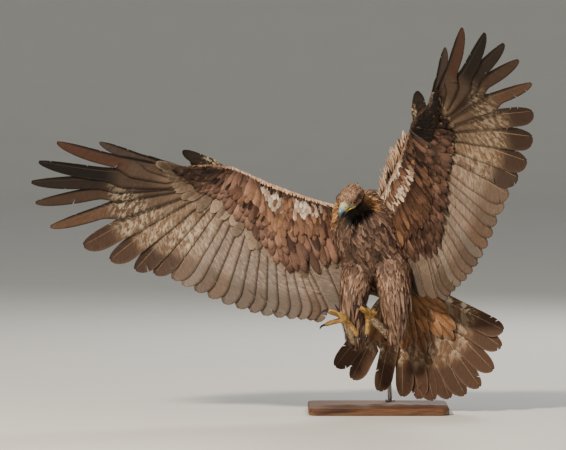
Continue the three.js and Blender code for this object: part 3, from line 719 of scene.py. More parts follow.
def plumage(name, blotchSize):
    material, tree, shader = newMaterial(name)
    dye = addNode(tree, "ShaderNodeAttribute", {"attribute_name": "dye"}, "Color")
    seed, marble, blotch = (addNode(tree, "ShaderNodeAttribute", {"attribute_name": key}, "Fac")
                            for key in ("seed", "marble", "blotch"))
    place = addNode(tree, "ShaderNodeUVMap", {"uv_map": "vane"})
    fine = vaneUnit / plumageLook["marbleSize"]
    drawn = {}
    for pattern, scale, detail in (
            ("barbs", (8, vaneUnit / plumageLook["barb"], 1), 2.0),
            ("fine", (fine * 0.5, fine, 1), 3.0),
            ("large", (vaneUnit / blotchSize, vaneUnit / blotchSize, 1), 3.0),
            ("specks", (0.8 * vaneUnit / blotchSize, 1.3 * vaneUnit / blotchSize, 3), 2.0)):
        scaled = addNode(tree, "ShaderNodeMapping", {"Scale": scale, "Vector": place})
        drawn[pattern] = addNode(tree, "ShaderNodeTexNoise", {
            "noise_dimensions": "4D", "Scale": 1.0, "Detail": detail, "Roughness": 0.6,
            "Vector": scaled, "W": seed})
    colour = dye
    for pattern, low, high, most, part, tint in (
            ("fine", 0.48, 0.62, 0.75, marble, "pale"), ("specks", 0.56, 0.66, 0.5, marble, "speck"),
            ("large", 0.49, 0.53, 0.9, blotch, "cream"), ("specks", 0.5, 0.56, 0.9, blotch, "speck")):
        share = addNode(tree, "ShaderNodeMapRange", {0: drawn[pattern], 1: low, 2: high, 3: 0, 4: most})
        amount = addNode(tree, "ShaderNodeMath", {"operation": "MULTIPLY", 0: share, 1: part})
        colour = addNode(tree, "ShaderNodeMix", {
            "data_type": "RGBA", 0: amount, 6: colour, 7: (*linear(plumageLook[tint]), 1)}, 2)
    streak = addNode(tree, "ShaderNodeMapRange", {0: drawn["barbs"], 1: 0.3, 2: 0.7, 3: 0.72, 4: 1.25})
    streaked = addNode(tree, "ShaderNodeVectorMath", {"operation": "SCALE", 0: colour, 3: streak})
    low, high = plumageLook["roughness"]
    rough = addNode(tree, "ShaderNodeMapRange", {0: drawn["barbs"], 1: 0.2, 2: 0.8, 3: low, 4: high})
    bump = addNode(tree, "ShaderNodeBump", {"Strength": 0.35, "Distance": 0.0006, "Height": drawn["barbs"]})
    setNode(tree, shader, {"Base Color": streaked, "Roughness": rough, "Normal": bump,
                           "IOR": 1.54, "Specular IOR Level": 0.18})  # keratin
    return material


# Wings: flight feathers from the finger tips to the body, then rows of coverts over their feet
flights = {
    "outer": 20, "inner": 42, "fingers": 6, "fingerOuter": 15, "fingerInner": 46, "firstInner": 0.72,
    "notches": (0.5, 0.52, 0.55, 0.58, 0.6, 0.66), "droop": (20, 8, -4, -8, -8),
    "bows": (4, 10, 16, 2, -5, 0), "step": 0.9, "camber": 1.8, "ruffle": 0.3,
    "rows": 56, "columns": 11, "splits": 4, "shaft": 1.7, "sunk": 0.45, "tone": {-1: 0.86, 1: 0.66},
    "topShare": 0.25,
}
flightTint = tintsOf({
    "fingerFoot": "#735f4c", "fingerMiddle": "#504034",
    "fingerTips": ("#42362f", "#483024", "#1c1611", "#2c231c", "#463428", "#5a4232"),
    "fingerEdge": "#120d0b", "innerFoot": "#6d5846", "innerMiddle": "#7b6048", "innerTip": "#463429",
    "armFoot": "#786352", "armMiddle": "#8f796a", "armTip": "#6a5546", "tertial": "#745b49",
    "armGrey": "#8b857d",
    "rim": "#a58e78", "shaft": "#9a836c", "upper": "#31241c", "upperTip": "#140d09",
    "upperRim": "#715b48", "upperShaft": "#130d0a",
})


def planOf(a, b, angle, length, **more):
    # feathers in the wing's plan: foot, bearing and length, flat and straight unless told otherwise
    zero = np.zeros(len(length))
    flat = {"height": zero, "droop": zero, "bow": zero}
    return {"a": a, "b": b, "angle": angle, "length": length, **flat, **more}


def flightPlan():
    wristA, wristB = wing["wrist"]
    elbowA, elbowB = wing["elbow"]
    handAngle = math.radians(wing["handAngle"])
    rows = []
    for n in range(9, -1, -1):
        reach = wing["hand"] * (0.1 + 0.9 * n / 9)
        rows.append((wristA + reach * math.cos(handAngle), wristB + reach * math.sin(handAngle),
                     smooth(wing["primaryAngles"], n / 9), wing["primaryLengths"][n]))
    for n in range(wing["secondaries"]):
        t = n / (wing["secondaries"] - 1)
        share = 0.04 + 0.96 * t
        rows.append((wristA + (elbowA - wristA) * share, wristB + (elbowB - wristB) * share,
                     smooth(wing["secondaryAngles"], t), smooth(wing["secondaryLengths"], t)))
    for n in range(1, wing["tertials"] + 1):
        t = 1.3 * n / (wing["tertials"] + 1)
        rows.append((elbowA * (1 - t), elbowB + (wing["shoulder"][1] - elbowB) * t,
                     wing["secondaryAngles"][2] + 1 - 3 * n, wing["secondaryLengths"][2] - 14 * n))
    a, b, angle, length = np.array(rows, float).T
    n = np.arange(len(rows))
    finger = n < flights["fingers"]
    outer = np.where(finger, flights["fingerOuter"], flights["outer"])
    inner = np.where(finger, flights["fingerInner"], flights["inner"]).astype(float)
    inner[0] *= flights["firstInner"]
    bow = np.zeros(len(rows))
    bow[:flights["fingers"]] = flights["bows"]
    return planOf(a, b, np.radians(angle), length, outer=outer, inner=inner, bow=bow,
                  height=-flights["step"] * np.maximum(0, flights["fingers"] - n),
                  droop=smooth(flights["droop"], n / (len(rows) - 1)))


def inPlan(pose, plan, sign=1, floor=None):
    # sets vanes in the wing's plan; with a floor they lie on the core or on the tier below them
    def put(x, y, h):
        part = {key: value.reshape(-1, 1, 1) for key, value in plan.items()}
        t = y / part["length"]
        x = x - part["bow"] * np.sin(np.pi * np.clip(t, 0, 1))
        a = part["a"] + np.cos(part["angle"]) * y + np.sin(part["angle"]) * x
        b = part["b"] + np.sin(part["angle"]) * y - np.cos(part["angle"]) * x
        height = part["height"] + part["droop"] * t ** 2
        if floor is not None:
            under = np.maximum(coreHeight(a, b, wing["coat"]), floor.reshape(-1, 1, 1))
            height = sign * (under + part["rise"] * (0.25 + 0.75 * t))
        return inWing(pose, a, b, height + wing["lean"] * x + sign * h)
    return put


def flightColours(plan, grid, shadeOfWing):
    # the pale undersides: a plain foot, a marbled middle and a dark end
    tint = flightTint
    t, x = grid["t"], grid["x"]
    n = np.arange(len(plan["a"]))[:, None, None]
    outer = plan["outer"][:, None, None]
    fingers = flights["fingers"]
    notch = np.full(n.shape, 0.78)
    notch[:fingers, 0, 0] = flights["notches"]
    tips = np.concatenate([tint["fingerTips"], np.tile(tint["innerTip"], (4, 1)),
                           np.tile(tint["armTip"], (len(n) - 10, 1))])[:, None, None]
    armShare = ease(8, 12, n)
    fingerShare = 1 - ease(4, 8, n)
    last = ease(21, 24, n)
    outerWeb = ease(0, 0.4, x / outer)
    foot = layered(tint, "innerFoot", ("armFoot", armShare), ("fingerFoot", fingerShare))
    middle = layered(tint, "innerMiddle", ("armMiddle", armShare), ("fingerMiddle", fingerShare),
                     ("tertial", last))
    under = layered(tint, foot, (middle, ease(0.15, notch - 0.2, t)),
                    (tips, ease(notch - 0.1, notch + 0.05, t)),
                    ("armGrey", armShare * rng.random(n.shape) * 0.5 * ease(0.3, 0.7, t)))
    under = under * (1 - 0.22 * outerWeb[..., None])
    isFinger = (n < fingers) & (t > notch - 0.25)
    rimShare = ease(0.86, 0.97, np.abs(grid["q"])) * (n >= fingers) * ease(0.3, 0.6, t) * 0.6
    under = layered(tint, under, ("fingerEdge", ease(0.45, 0.8, x / (outer * 0.66)) * isFinger),
                    ("rim", rimShare))
    over = layered(tint, "upper", ("upperTip", ease(0.6, 0.9, t)), ("upperRim", rimShare * 0.8))
    own = rng.uniform(0.78, 1.15, n.shape)[..., None] * shadeOfWing
    marble = (1 - fingerShare) * ease(0.05, 0.25, t) * (1 - ease(0.68, 0.82, t)) * (1 - 0.5 * last)
    blotch = ease(2, 4, n) * (1 - ease(9, 11, n)) * ease(0.36, 0.5, t)
    blotch = blotch * (1 - ease(notch - 0.1, notch + 0.02, t)) * (1 - outerWeb * 0.6) * 0.74
    return over * own, under * own, marble * shadeOfWing ** 2, blotch * shadeOfWing ** 2


def addShafts(coat, plan, put, over, under, bake, size, seed, flip=False):
    # the quill down the middle of each vane, proud of its underside
    count = len(plan["length"])
    stations, sides = 20, 6
    t = np.linspace(0, 0.97, stations)[:, None]
    turn = circle(sides)
    thick = flights["shaft"] * (1 - 0.82 * t ** 0.8)
    x = np.broadcast_to(thick * np.cos(turn), (count, stations, sides))
    h = np.broadcast_to(thick * (np.sin(turn) - flights["sunk"]), x.shape)
    along = np.broadcast_to(t, x.shape)
    y = plan["length"].reshape(-1, 1, 1) * along
    points = put(x, y, h)
    first = sum(len(p) for p in coat["points"])
    end = (stations - 1) * sides
    caps = [(0, 1, 2, 3), (0, 3, 4, 5), (end + 3, end + 2, end + 1, end), (end + 5, end + 4, end + 3, end)]
    faces = np.vstack([bandFaces(stations, sides)[:, ::-1], caps])
    if flip:
        faces = faces[:, ::-1]
    faces = (faces[None] + first + stations * sides * np.arange(count)[:, None, None]).reshape(-1, 4)
    colour = np.broadcast_to(np.where(np.sin(turn)[:, None] > 0.2, over, under), x.shape + (3,))
    spread = np.broadcast_to(turn / (2 * np.pi), x.shape)
    bakeMap = np.asarray(bake)[:, None, None] + np.stack([spread, along], -1) * np.asarray(size, float)
    zero = np.zeros(x.size)
    seed = np.broadcast_to(np.asarray(seed).reshape(-1, 1, 1), x.shape).ravel()
    store(coat, points=points.reshape(-1, 3), faces=faces, dye=colour.reshape(-1, 3), seed=seed,
          marble=zero, blotch=zero,
          vane=np.stack([x, y], -1).reshape(-1, 2) / vaneUnit, bake=bakeMap.reshape(-1, 2),
          shift=np.zeros(len(faces)), rim=zero)


def padded(values, low, count):
    # the same values set at their place in the row of all flight feathers
    whole = np.zeros((count,) + values.shape[1:])
    whole[low:low + len(values)] = values
    return whole


def addFlights(coat, pose):
    plan = flightPlan()
    flip = pose["side"] < 0
    count = len(plan["a"])
    seed = rng.uniform(0, 90, count)
    fingers = flights["fingers"]
    cell = 1 / 30  # width of a feather's strip in the bake's map
    for low, high, shape in ((0, fingers, "finger"), (fingers, count, "round")):
        some = {key: value[low:high] for key, value in plan.items()}
        outline = dict(outlines[shape])
        if shape == "finger":
            outline["notch"] = np.array(flights["notches"])[:, None]
        grid = vaneGrid(some["length"], some["outer"], some["inner"], outline, flights["rows"],
                        flights["columns"], flights["splits"])
        whole = {**grid, "t": padded(grid["t"], low, count), "x": padded(grid["x"], low, count)}
        colours = flightColours(plan, whole, flights["tone"][pose["side"]])
        over, under, marble, blotch = (value[low:high] for value in colours)
        corner = np.stack([cell * (0.02 + np.arange(low, high)), np.zeros(high - low)], -1)
        addVanes(coat, grid, inPlan(pose, some), over, corner, under, (cell * 0.43, 0.5), seed[low:high],
                 marble, blotch, shift=cell * 0.45, camber=flights["camber"], ruffle=flights["ruffle"],
                 thick=0.7, flip=flip, topShare=flights["topShare"])
    corner = np.stack([cell * (0.92 + np.arange(count)), np.zeros(count)], -1)
    dark = 0.8 * (1 - ease(4, 7, np.arange(count)))
    shaft = mixed(flightTint["shaft"], flightTint["fingerEdge"], dark)[:, None, None]
    addShafts(coat, plan, inPlan(pose, plan), flightTint["upperShaft"], shaft, corner, (cell * 0.06, 0.5),
              seed, flip)


flightPlumage = plumage("feltedFlightPlumage", 14)
flightPieces = {}
for side, pose in wingPoses.items():
    coat = newCoat()
    addFlights(coat, pose)
    flightPieces[side] = coatObject("flight_feathers_" + side, coat, flightPlumage)
print("flight feathers")


# Rows of coverts: how far ahead of the flight feathers' feet, lengths from hand to body, height
covertRows = {
    -1: [
        {"ahead": 20, "lengths": (114, 160, 166, 168), "floor": 6, "wide": 17, "count": 27, "first": 0},
        {"ahead": 4, "lengths": (72, 104, 116, 120), "floor": 10, "wide": 11.5, "count": 38, "first": 1.6},
        {"ahead": 24, "lengths": (64, 92, 102, 106), "floor": 12, "wide": 11, "count": 40, "first": 1.9},
        {"ahead": 42, "lengths": (54, 82, 90, 92), "floor": 13.5, "wide": 10.5, "count": 42, "first": 2.2},
        {"ahead": 58, "lengths": (46, 68, 76, 80), "floor": 14.5, "wide": 9.5, "count": 44, "first": 2.4},
        {"ahead": 22, "lengths": (110, 124, 150, 168), "floor": 9, "wide": 14, "count": 15, "first": 17.5,
         "axillary": True},
    ],
    1: [
        {"ahead": 20, "lengths": (100, 134, 130, 126), "floor": 6, "wide": 18, "count": 27, "first": 0},
        {"ahead": 42, "lengths": (70, 88, 92, 92), "floor": 10, "wide": 13, "count": 34, "first": 1.6},
        {"ahead": 56, "lengths": (54, 72, 78, 78), "floor": 12.5, "wide": 12, "count": 38, "first": 2},
        {"ahead": 70, "lengths": (44, 60, 66, 68), "floor": 14.5, "wide": 11, "count": 40, "first": 2.4},
    ],
}
covertSlide = {-1: 0, 1: 62}  # the left wing's lining is blown further back
lastCovert = 25.4  # where the rows end, counted in flight feathers from the wing's tip
lesser = {
    "shares": (0.005, 0.03, 0.07, 0.13, 0.2, 0.28, 0.37, 0.47, 0.58, 0.7, 0.83),
    "gap": (5.5, 6, 7, 8, 8.5, 9, 9.5, 10.5, 11.5, 11, 11),
    "lengths": (13, 16, 21, 27, 34, 40, 46, 50, 54, 62, 68),
    "flowPlaces": (-45, 0, 90, 178, 250, 298, 340, 390, 450, 474),
    "flow": (112, 110, 98, 82, 66, 52, 36, 16, -6, -16),
    # bare downy patches: from and to along the wing, then along the chord
    "white": {-1: ((24, 250, 0.1, 0.5),), 1: ((-14, 196, 0.01, 0.17), (30, 224, 0.24, 0.5))},
    "fringe": {"from": -6, "to": 246, "gap": 3.2, "length": 50, "wide": 6.2, "angle": -66},
}
alula = {
    "a": 312, "b": -116, "along": 4.0, "angles": (-20.4, -14.5, -10), "lengths": (155, 122, 90),
    "height": 4, "step": -2.5, "droop": 6, "outer": 13, "inner": 23,
}
# the front colour's paleness is partly painted sunlight on the wing's leading edge
coverTint = tintsOf({
    "greaterHand": "#665341", "greaterArm": "#816c5a", "greaterBody": "#735a49", "greaterDark": "#18110e",
    "rim": "#9b8772", "median": "#8f6b59", "medianDark": "#2b1b14", "medianTipShadow": "#150c08",
    "lesser": "#70503f", "lesserWarm": "#956d4f", "lesserDark": "#160c08", "hand": "#130d0b",
    "front": "#cda789", "gap": "#130d09", "down": "#c6b9a7", "upper": "#32241c", "upperEdge": "#7b5e44",
    "alula": "#282018",
})


wingMap = {"from": (-60, -170), "size": (560, 330), "share": (0.48, 0.9), "top": 0.5}


def planUnwrap(plan, sign):
    # the wing's two surfaces laid side by side, each feather's patch centred on its foot
    feet = np.stack([plan["a"], plan["b"]], -1)
    place = (feet - wingMap["from"]) / wingMap["size"] * wingMap["share"]
    return place + (wingMap["top"] if sign > 0 else 0, 0) - patch / 2


def covertFaces(grid, colour, tip, edge, tipShare=0.25, edgeShare=0.3):
    # one colour a feather, with painted shade darkening its foot, and its own tip and edge
    t, q = grid["t"], np.abs(grid["q"])
    colour = np.asarray(colour)[:, None, None]
    face = colour * (0.5 + 0.5 * ease(0.1, 0.6, t))[..., None]
    face = mixed(face, tip, ease(0.8, 0.98, t) * tipShare)
    return mixed(face, edge, ease(0.62, 1, q) * ease(0.25, 0.6, t) * edgeShare)


def rowOfCoverts(coat, pose, row, sign, level):
    whole = flightPlan()
    right = pose["side"] < 0
    u = np.linspace(row["first"], lastCovert, row["count"]) + rng.normal(0, 0.08, row["count"])
    n = np.arange(len(whole["a"]))
    a, b, angle = (np.interp(u, n, whole[key]) for key in ("a", "b", "angle"))
    angle = angle + rng.normal(0, 0.045, len(u))
    arm = np.interp(u, (0, 9, 10.5), (0, 0, 1))
    slide = covertSlide[pose["side"]] * (sign < 0) * (level > 0)
    axillary = row.get("axillary", False)
    slide = 0 if axillary else slide * (0.45 + 0.55 * ease(4, 10, u)) * (1 - 0.35 * ease(17, 25, u))
    ahead = row["ahead"] * (0.35 + 0.65 * arm) - slide + rng.normal(0, 2.5, len(u))
    for _ in range(8):  # no root ahead of the wing's own edge
        proud = b - ahead * np.sin(angle) < frontEdge(a - ahead * np.cos(angle)) + 14
        ahead = np.where(proud, ahead - 6, ahead)
    length = smooth(row["lengths"], u / lastCovert) * rng.uniform(0.93, 1.05, len(u))
    wide = row["wide"] * (0.8 + 0.2 * arm)
    floor = row["floor"] * (0.78 + 0.22 * arm) - sign * 0.9 * np.maximum(0, 6 - u)
    plan = planOf(a - ahead * np.cos(angle), b - ahead * np.sin(angle), angle, length,
                  rise=3.5 + rng.uniform(0, 3.2, len(u)) * (level > 0))
    grid = vaneGrid(length, wide, wide * 1.15, outlines["covert"], 18 if level == 0 else 13, 7, 1)
    odd = rng.random(len(u))
    tint = coverTint
    if sign > 0:
        colour = layered(tint, "upper", ("upperEdge", 0.25 * odd))
        face = covertFaces(grid, colour, tint["upperEdge"], tint["upperEdge"], 0.25, 0.35)
    elif level == 0:
        colour = layered(tint, "greaterHand", ("greaterArm", ease(7, 11, u)))
        colour = layered(tint, colour * flights["tone"][pose["side"]], ("greaterBody", ease(15, 19, u)),
                         ("greaterDark", (1 - ease(1, 3.5, u)) * 0.6))
        face = covertFaces(grid, colour, tint["rim"], tint["rim"], 0.25, 0.3)
    else:
        dark = 0.8 * odd if right or axillary else 0.6 + 0.4 * odd
        colour = layered(tint, "median", ("medianDark", dark),
                         ("hand", (1 - ease(5, 9.5, u)) * (0.85 if right else 0.98)))
        # the near-black tips are painted shadow; the dark edges are partly the feathers' own colour, partly
        # painted shade
        tip = layered(tint, "medianTipShadow", ("median", 0.5 * (odd[:, None, None] > 0.6)))
        loose = (level > 2) * (u > 13) * (rng.random(len(u)) > 0.3) * (not axillary) * right
        colour = layered(tint, colour, ("lesserWarm", loose * 0.45))
        loose, own = loose[:, None, None], colour[:, None, None]
        edge = mixed(tint["medianDark"] * 0.6, own * 0.7, loose)
        face = covertFaces(grid, colour, mixed(tip, own, loose), edge, 0.6, 0.65)
    face = face * rng.uniform(0.52, 1.4, (len(u), 1, 1, 1))
    marble = (0.2 if right else 0.45) * (1 - ease(15, 19, u)) if level == 0 and sign < 0 else 0
    addVanes(coat, grid, inPlan(pose, plan, sign, floor), face, planUnwrap(plan, sign), marble=marble,
             camber=1.6, ruffle=0.3, flip=right != (sign < 0))


def lesserPlaces():
    # staggered rows from the front edge back: place along the wing, share of the chord and length
    places = []
    for row, (share, gap, length) in enumerate(zip(lesser["shares"], lesser["gap"], lesser["lengths"])):
        a = np.arange(-20 + gap * 0.5 * (row % 2), 468, gap)
        a = a + rng.normal(0, gap * 0.12, len(a))
        s = np.clip(share + rng.normal(0, 0.012, len(a)) * (row > 1), 0.002, 1)
        places.append(np.stack([a, s, np.full(len(a), length)], -1))
    return np.concatenate(places).T


def downyPatches(a, s, pose, sign):
    # how white each feather is: down that shows where the wind parts the lining
    white = np.zeros(len(a))
    for low, high, fore, aft in lesser["white"][pose["side"]]:
        part = ease(low, low + 26, a) * (1 - ease(high - 34, high, a)) * ease(fore, fore + 0.05, s)
        white = np.maximum(white, part * (1 - ease(aft - 0.08, aft, s + rng.normal(0, 0.03, len(a)))))
    white = white * (sign < 0)
    if pose["side"] < 0:
        white = white * ease(0.1, 0.45, 0.5 + 0.5 * np.cos((a - 78) / 122 * 2 * np.pi))
    return white * (rng.random(len(a)) > 0.1 + 0.3 * ease(fore + 0.15, aft, s))


def fieldOfCoverts(coat, pose, sign):
    # small coverts from the front edge back, each row over the next
    right = pose["side"] < 0
    a, s, length = lesserPlaces()
    hand = ease(290, 330, a) if right else ease(258, 292, a)
    chord = rearEdge(a) - frontEdge(a)
    keep = rng.random(len(a)) > 0.35 * hand * (s > 0.1)
    white = downyPatches(a, s, pose, sign)
    length = length * (1 - 0.25 * hand) * rng.uniform(0.85, 1.12, len(a)) * (1 - 0.25 * white)
    b = frontEdge(a) + chord * s
    bearing = np.interp(a, lesser["flowPlaces"], lesser["flow"]) - 12 * (1 - s)
    angle = np.radians(bearing + rng.normal(0, 5, len(a)))
    inside = insideSkin(inWing(pose, a, b, sign * coreHeight(a, b, wing["coat"])), -5)
    keep &= ~inside & ((s < 0.63) | ((not right) & (sign < 0)))
    a, b, s, angle, length, hand, white = (value[keep] for value in (a, b, s, angle, length, hand, white))
    floor = 15 * ease(0.28, 0.6, s) * (1 - 0.25 * hand)
    plan = planOf(a, b, angle, length,
                  rise=1.2 + length * 0.08 + rng.uniform(0, 2.6, len(a)) * (length > 25))
    wide = (1.8 + length * 0.15) * (1 + 0.25 * white)
    grid = vaneGrid(length, wide, wide * 1.1, outlines["leaf"], 7, 5)
    odd = rng.random(len(a))
    tint = coverTint
    if sign > 0:
        colour = layered(tint, "upper", ("upperEdge", 0.15 + 0.5 * odd * (1 - s)))
        face = covertFaces(grid, colour, tint["upperEdge"], tint["upperEdge"], 0.3, 0.4)
    else:
        colour = layered(tint, "lesser", ("lesserDark", ease(0.3, 0.9, odd)),
                         ("lesserWarm", ease(0.7, 0.9, odd) * (1 - ease(150, 220, a))))
        if not right:
            darker = (0.35 + 0.5 * rng.random(len(a))) * ease(0.3, 0.5, s)
            colour = layered(tint, colour, ("medianDark", darker))
        dark = 0.65 + 0.3 * (odd < 0.75) if right else 0.98
        gap = ease(0.04, 0.06, s) * (1 - ease(0.12, 0.16, s)) * (1 - hand)
        # the pale front band is partly the marginals' own pinkish buff, partly painted sunlight on the
        # leading edge, strongest on the right wing
        front = (1 - ease(0.03, 0.05, s)) * (1 - 0.75 * hand) * (1 if right else 0.3)
        colour = layered(tint, colour, ("hand", hand * ease(0.05, 0.15, s) * dark), ("gap", gap * 0.7),
                         ("front", front))
        face = covertFaces(grid, colour, tint["lesserDark"], tint["lesserWarm"], 0.3, 0.25)
        down = layered(tint, "down", ("front", rng.random(len(a)) ** 2 * 0.9))[:, None, None]
        down = down * (0.62 + 0.38 * ease(0.1, 0.7, grid["t"]))[..., None]
        face = mixed(face, down, white[:, None, None] * (0.97 - 0.35 * ease(0.5, 1, np.abs(grid["q"]))))
    face = face * rng.uniform(0.62, 1.32, (len(a), 1, 1, 1))
    if not right and sign < 0:
        face = face * (1 - 0.62 * hand)[:, None, None, None]
    addVanes(coat, grid, inPlan(pose, plan, sign, floor), face, planUnwrap(plan, sign), camber=1.0,
             ruffle=0.35, flip=right != (sign < 0))


def addFringe(coat, pose):
    # wind lifts the left wing's marginal feathers off its front edge
    fringe = lesser["fringe"]
    a = np.arange(fringe["from"], fringe["to"], fringe["gap"])
    a = np.concatenate([a, a + 1.5]) + rng.normal(0, 1.2, 2 * len(a))
    count = len(a)
    bulge = np.sin(np.pi * (a - fringe["from"]) / (fringe["to"] - fringe["from"])).clip(0.15, 1)
    length = fringe["length"] * (0.45 + 0.55 * bulge) * rng.uniform(0.7, 1.15, count)
    b = frontEdge(a) + rng.uniform(2, 12, count)
    angle = np.radians(fringe["angle"] + rng.normal(0, 13, count))
    plan = planOf(a, b, angle, length, height=rng.uniform(-9, 9, count), droop=rng.normal(0, 5, count))
    wide = fringe["wide"] * rng.uniform(0.6, 1.1, count)
    grid = vaneGrid(length, wide, wide, outlines["lance"], 8, 3)
    odd = rng.random(count)
    colour = layered(coverTint, "front", ("lesserDark", ease(0.45, 0.9, odd)), ("down", (odd < 0.25) * 0.8))
    face = covertFaces(grid, colour, coverTint["lesser"], coverTint["front"], 0.3, 0.3)
    addVanes(coat, grid, inPlan(pose, plan), face, planUnwrap(plan, -1), camber=0.8, ruffle=0.3, thick=0.4,
             flip=pose["side"] < 0)


def insideSkin(points, depth):
    # whether points lie further under the skin than the depth
    result = []
    for point in points:
        near, normal, _, _ = skinTree.find_nearest(Vector(point) * mm)
        result.append((Vector(point) * mm - near).dot(normal) < depth * mm)
    return np.array(result)


def addAlula(coat, pose):
    n = np.arange(3)
    length = np.array(alula["lengths"], float)
    a, b = (alula[key] + alula["along"] * n for key in ("a", "b"))
    plan = planOf(a, b, np.radians(alula["angles"]), length, height=alula["height"] + alula["step"] * n,
                  droop=np.full(3, alula["droop"]))
    wider = 1.35 if pose["side"] > 0 else 1
    grid = vaneGrid(length, alula["outer"] * wider, alula["inner"] * wider, outlines["covert"], 22, 9, 1)
    colour = np.tile(coverTint["alula"], (3, 1))
    face = covertFaces(grid, colour, coverTint["gap"], coverTint["gap"], 0.8, 0.6)
    blotch = 0.8 * ease(0.1, 0.3, grid["t"]) * (1 - ease(0.45, 0.6, grid["t"]))
    addVanes(coat, grid, inPlan(pose, plan), face, planUnwrap(plan, 1), blotch=blotch, camber=1.5,
             ruffle=0.3, thick=0.6, flip=pose["side"] < 0)


covertPlumage = plumage("softCovertPlumage", 14)
covertPieces = {}
for side, pose in wingPoses.items():
    coat, small = newCoat(), newCoat()
    for sign, rows in covertRows.items():
        for level, row in enumerate(rows):
            rowOfCoverts(coat, pose, row, sign, level)
        fieldOfCoverts(small, pose, sign)
    addAlula(coat, pose)
    if side == "left":
        addFringe(small, pose)
    covertPieces[side] = coatObject("coverts_" + side, coat, covertPlumage)
    covertPieces["small_" + side] = coatObject("small_coverts_" + side, small, covertPlumage)
print("coverts", len(covertPieces["left"].data.polygons))


# Tail feathers, set in a fan from a point inside the rump
tailTint = tintsOf({
    "foot": "#80644a", "middle": "#664a34", "end": "#4b3527", "rim": "#b9917a", "shaft": "#a18d77",
    "upper": "#35271f", "upperEnd": "#130d0a", "under": "#8f6542", "underDark": "#372212",
    "upperCovert": "#463327",
})
tailCoverts = {
    -1: [
        {"count": 11, "from": -36, "to": 46, "length": 204, "height": 13, "wide": 19, "start": 14},
        {"count": 12, "from": -36, "to": 46, "length": 160, "height": 17, "wide": 17, "start": 6},
        {"count": 12, "from": -36, "to": 44, "length": 116, "height": 20, "wide": 14, "start": 0},
    ],
    1: [
        {"count": 7, "from": -38, "to": 38, "length": 158, "height": 12, "wide": 17, "start": 16},
        {"count": 8, "from": -36, "to": 36, "length": 112, "height": 17, "wide": 14, "start": 6},
        {"count": 9, "from": -34, "to": 34, "length": 78, "height": 21, "wide": 12, "start": -4},
    ],
}


def inFan(plan, sign=1, side=1):
    def put(x, y, h):
        part = {key: value.reshape(-1, 1, 1) for key, value in plan.items()}
        angle = part["angle"][..., None]
        along = tailDown * np.cos(angle) + tailLeft * np.sin(angle)
        lateral = tailLeft * np.cos(angle) - tailDown * np.sin(angle)
        foot = tailRoot + tailLeft * tail["foot"] * np.sin(angle) + along * part["start"][..., None]
        t = y / part["length"]
        height = part["height"] + part["droop"] * t ** 2 + part["tilt"] * x + sign * h
        return foot + along * y[..., None] + lateral * (side * x)[..., None] + tailTop * height[..., None]
    return put


def addRectrices(coat):
    count = tail["feathers"]
    n = np.arange(count)
    t = n / (count - 1)
    topmost = n == count // 2
    plan = {"angle": np.radians(smooth(tail["angles"], t)), "length": smooth(tail["lengths"], t),
            "start": np.zeros(count), "height": 4.0 * topmost, "droop": np.full(count, tail["droop"]),
            "tilt": np.where(topmost, 0, tail["tilt"])}
    cell = 1 / 14  # width of a feather's strip in the bake's map
    for side in (-1, 1):
        some = (plan["angle"] < 0) == (side < 0)
        part = {key: value[some] for key, value in plan.items()}
        total = some.sum()
        grid = vaneGrid(part["length"], tail["outer"], tail["inner"], outlines["round"], 52, 13, 3)
        at = grid["t"]
        rim = ease(0.86, 0.98, np.abs(grid["q"])) * ease(0.3, 0.6, at) * 0.5
        under = layered(tailTint, "foot", ("middle", ease(0.3, 0.62, at)), ("end", ease(0.64, 0.76, at)),
                        ("rim", rim)) * rng.uniform(0.88, 1.1, (total, 1, 1, 1))
        over = layered(tailTint, "upper", ("upperEnd", ease(0.5, 0.75, at)), ("rim", rim * 0.5))
        web = ease(-0.2, 0.1, grid["q"])  # the inner web carries the larger blotches
        blotch = (0.35 + 0.65 * web) * ease(0.12, 0.25, at) * (1 - ease(0.62, 0.74, at))
        marble = 0.3 * ease(0.1, 0.2, at) * (1 - ease(0.6, 0.7, at))
        seed = rng.uniform(0, 90, total)
        corner = np.stack([cell * (0.02 + n[some]), np.zeros(total)], -1)
        put = inFan(part, 1, side)
        addVanes(coat, grid, put, over, corner, under, (cell * 0.43, 0.5), seed, marble, blotch,
                 shift=cell * 0.45, camber=1.8, ruffle=0.3, thick=0.7, flip=side < 0, topShare=0.5)
        addShafts(coat, part, put, flightTint["upperShaft"], tailTint["shaft"], corner + (cell * 0.9, 0),
                  (cell * 0.06, 0.5), seed, side < 0)


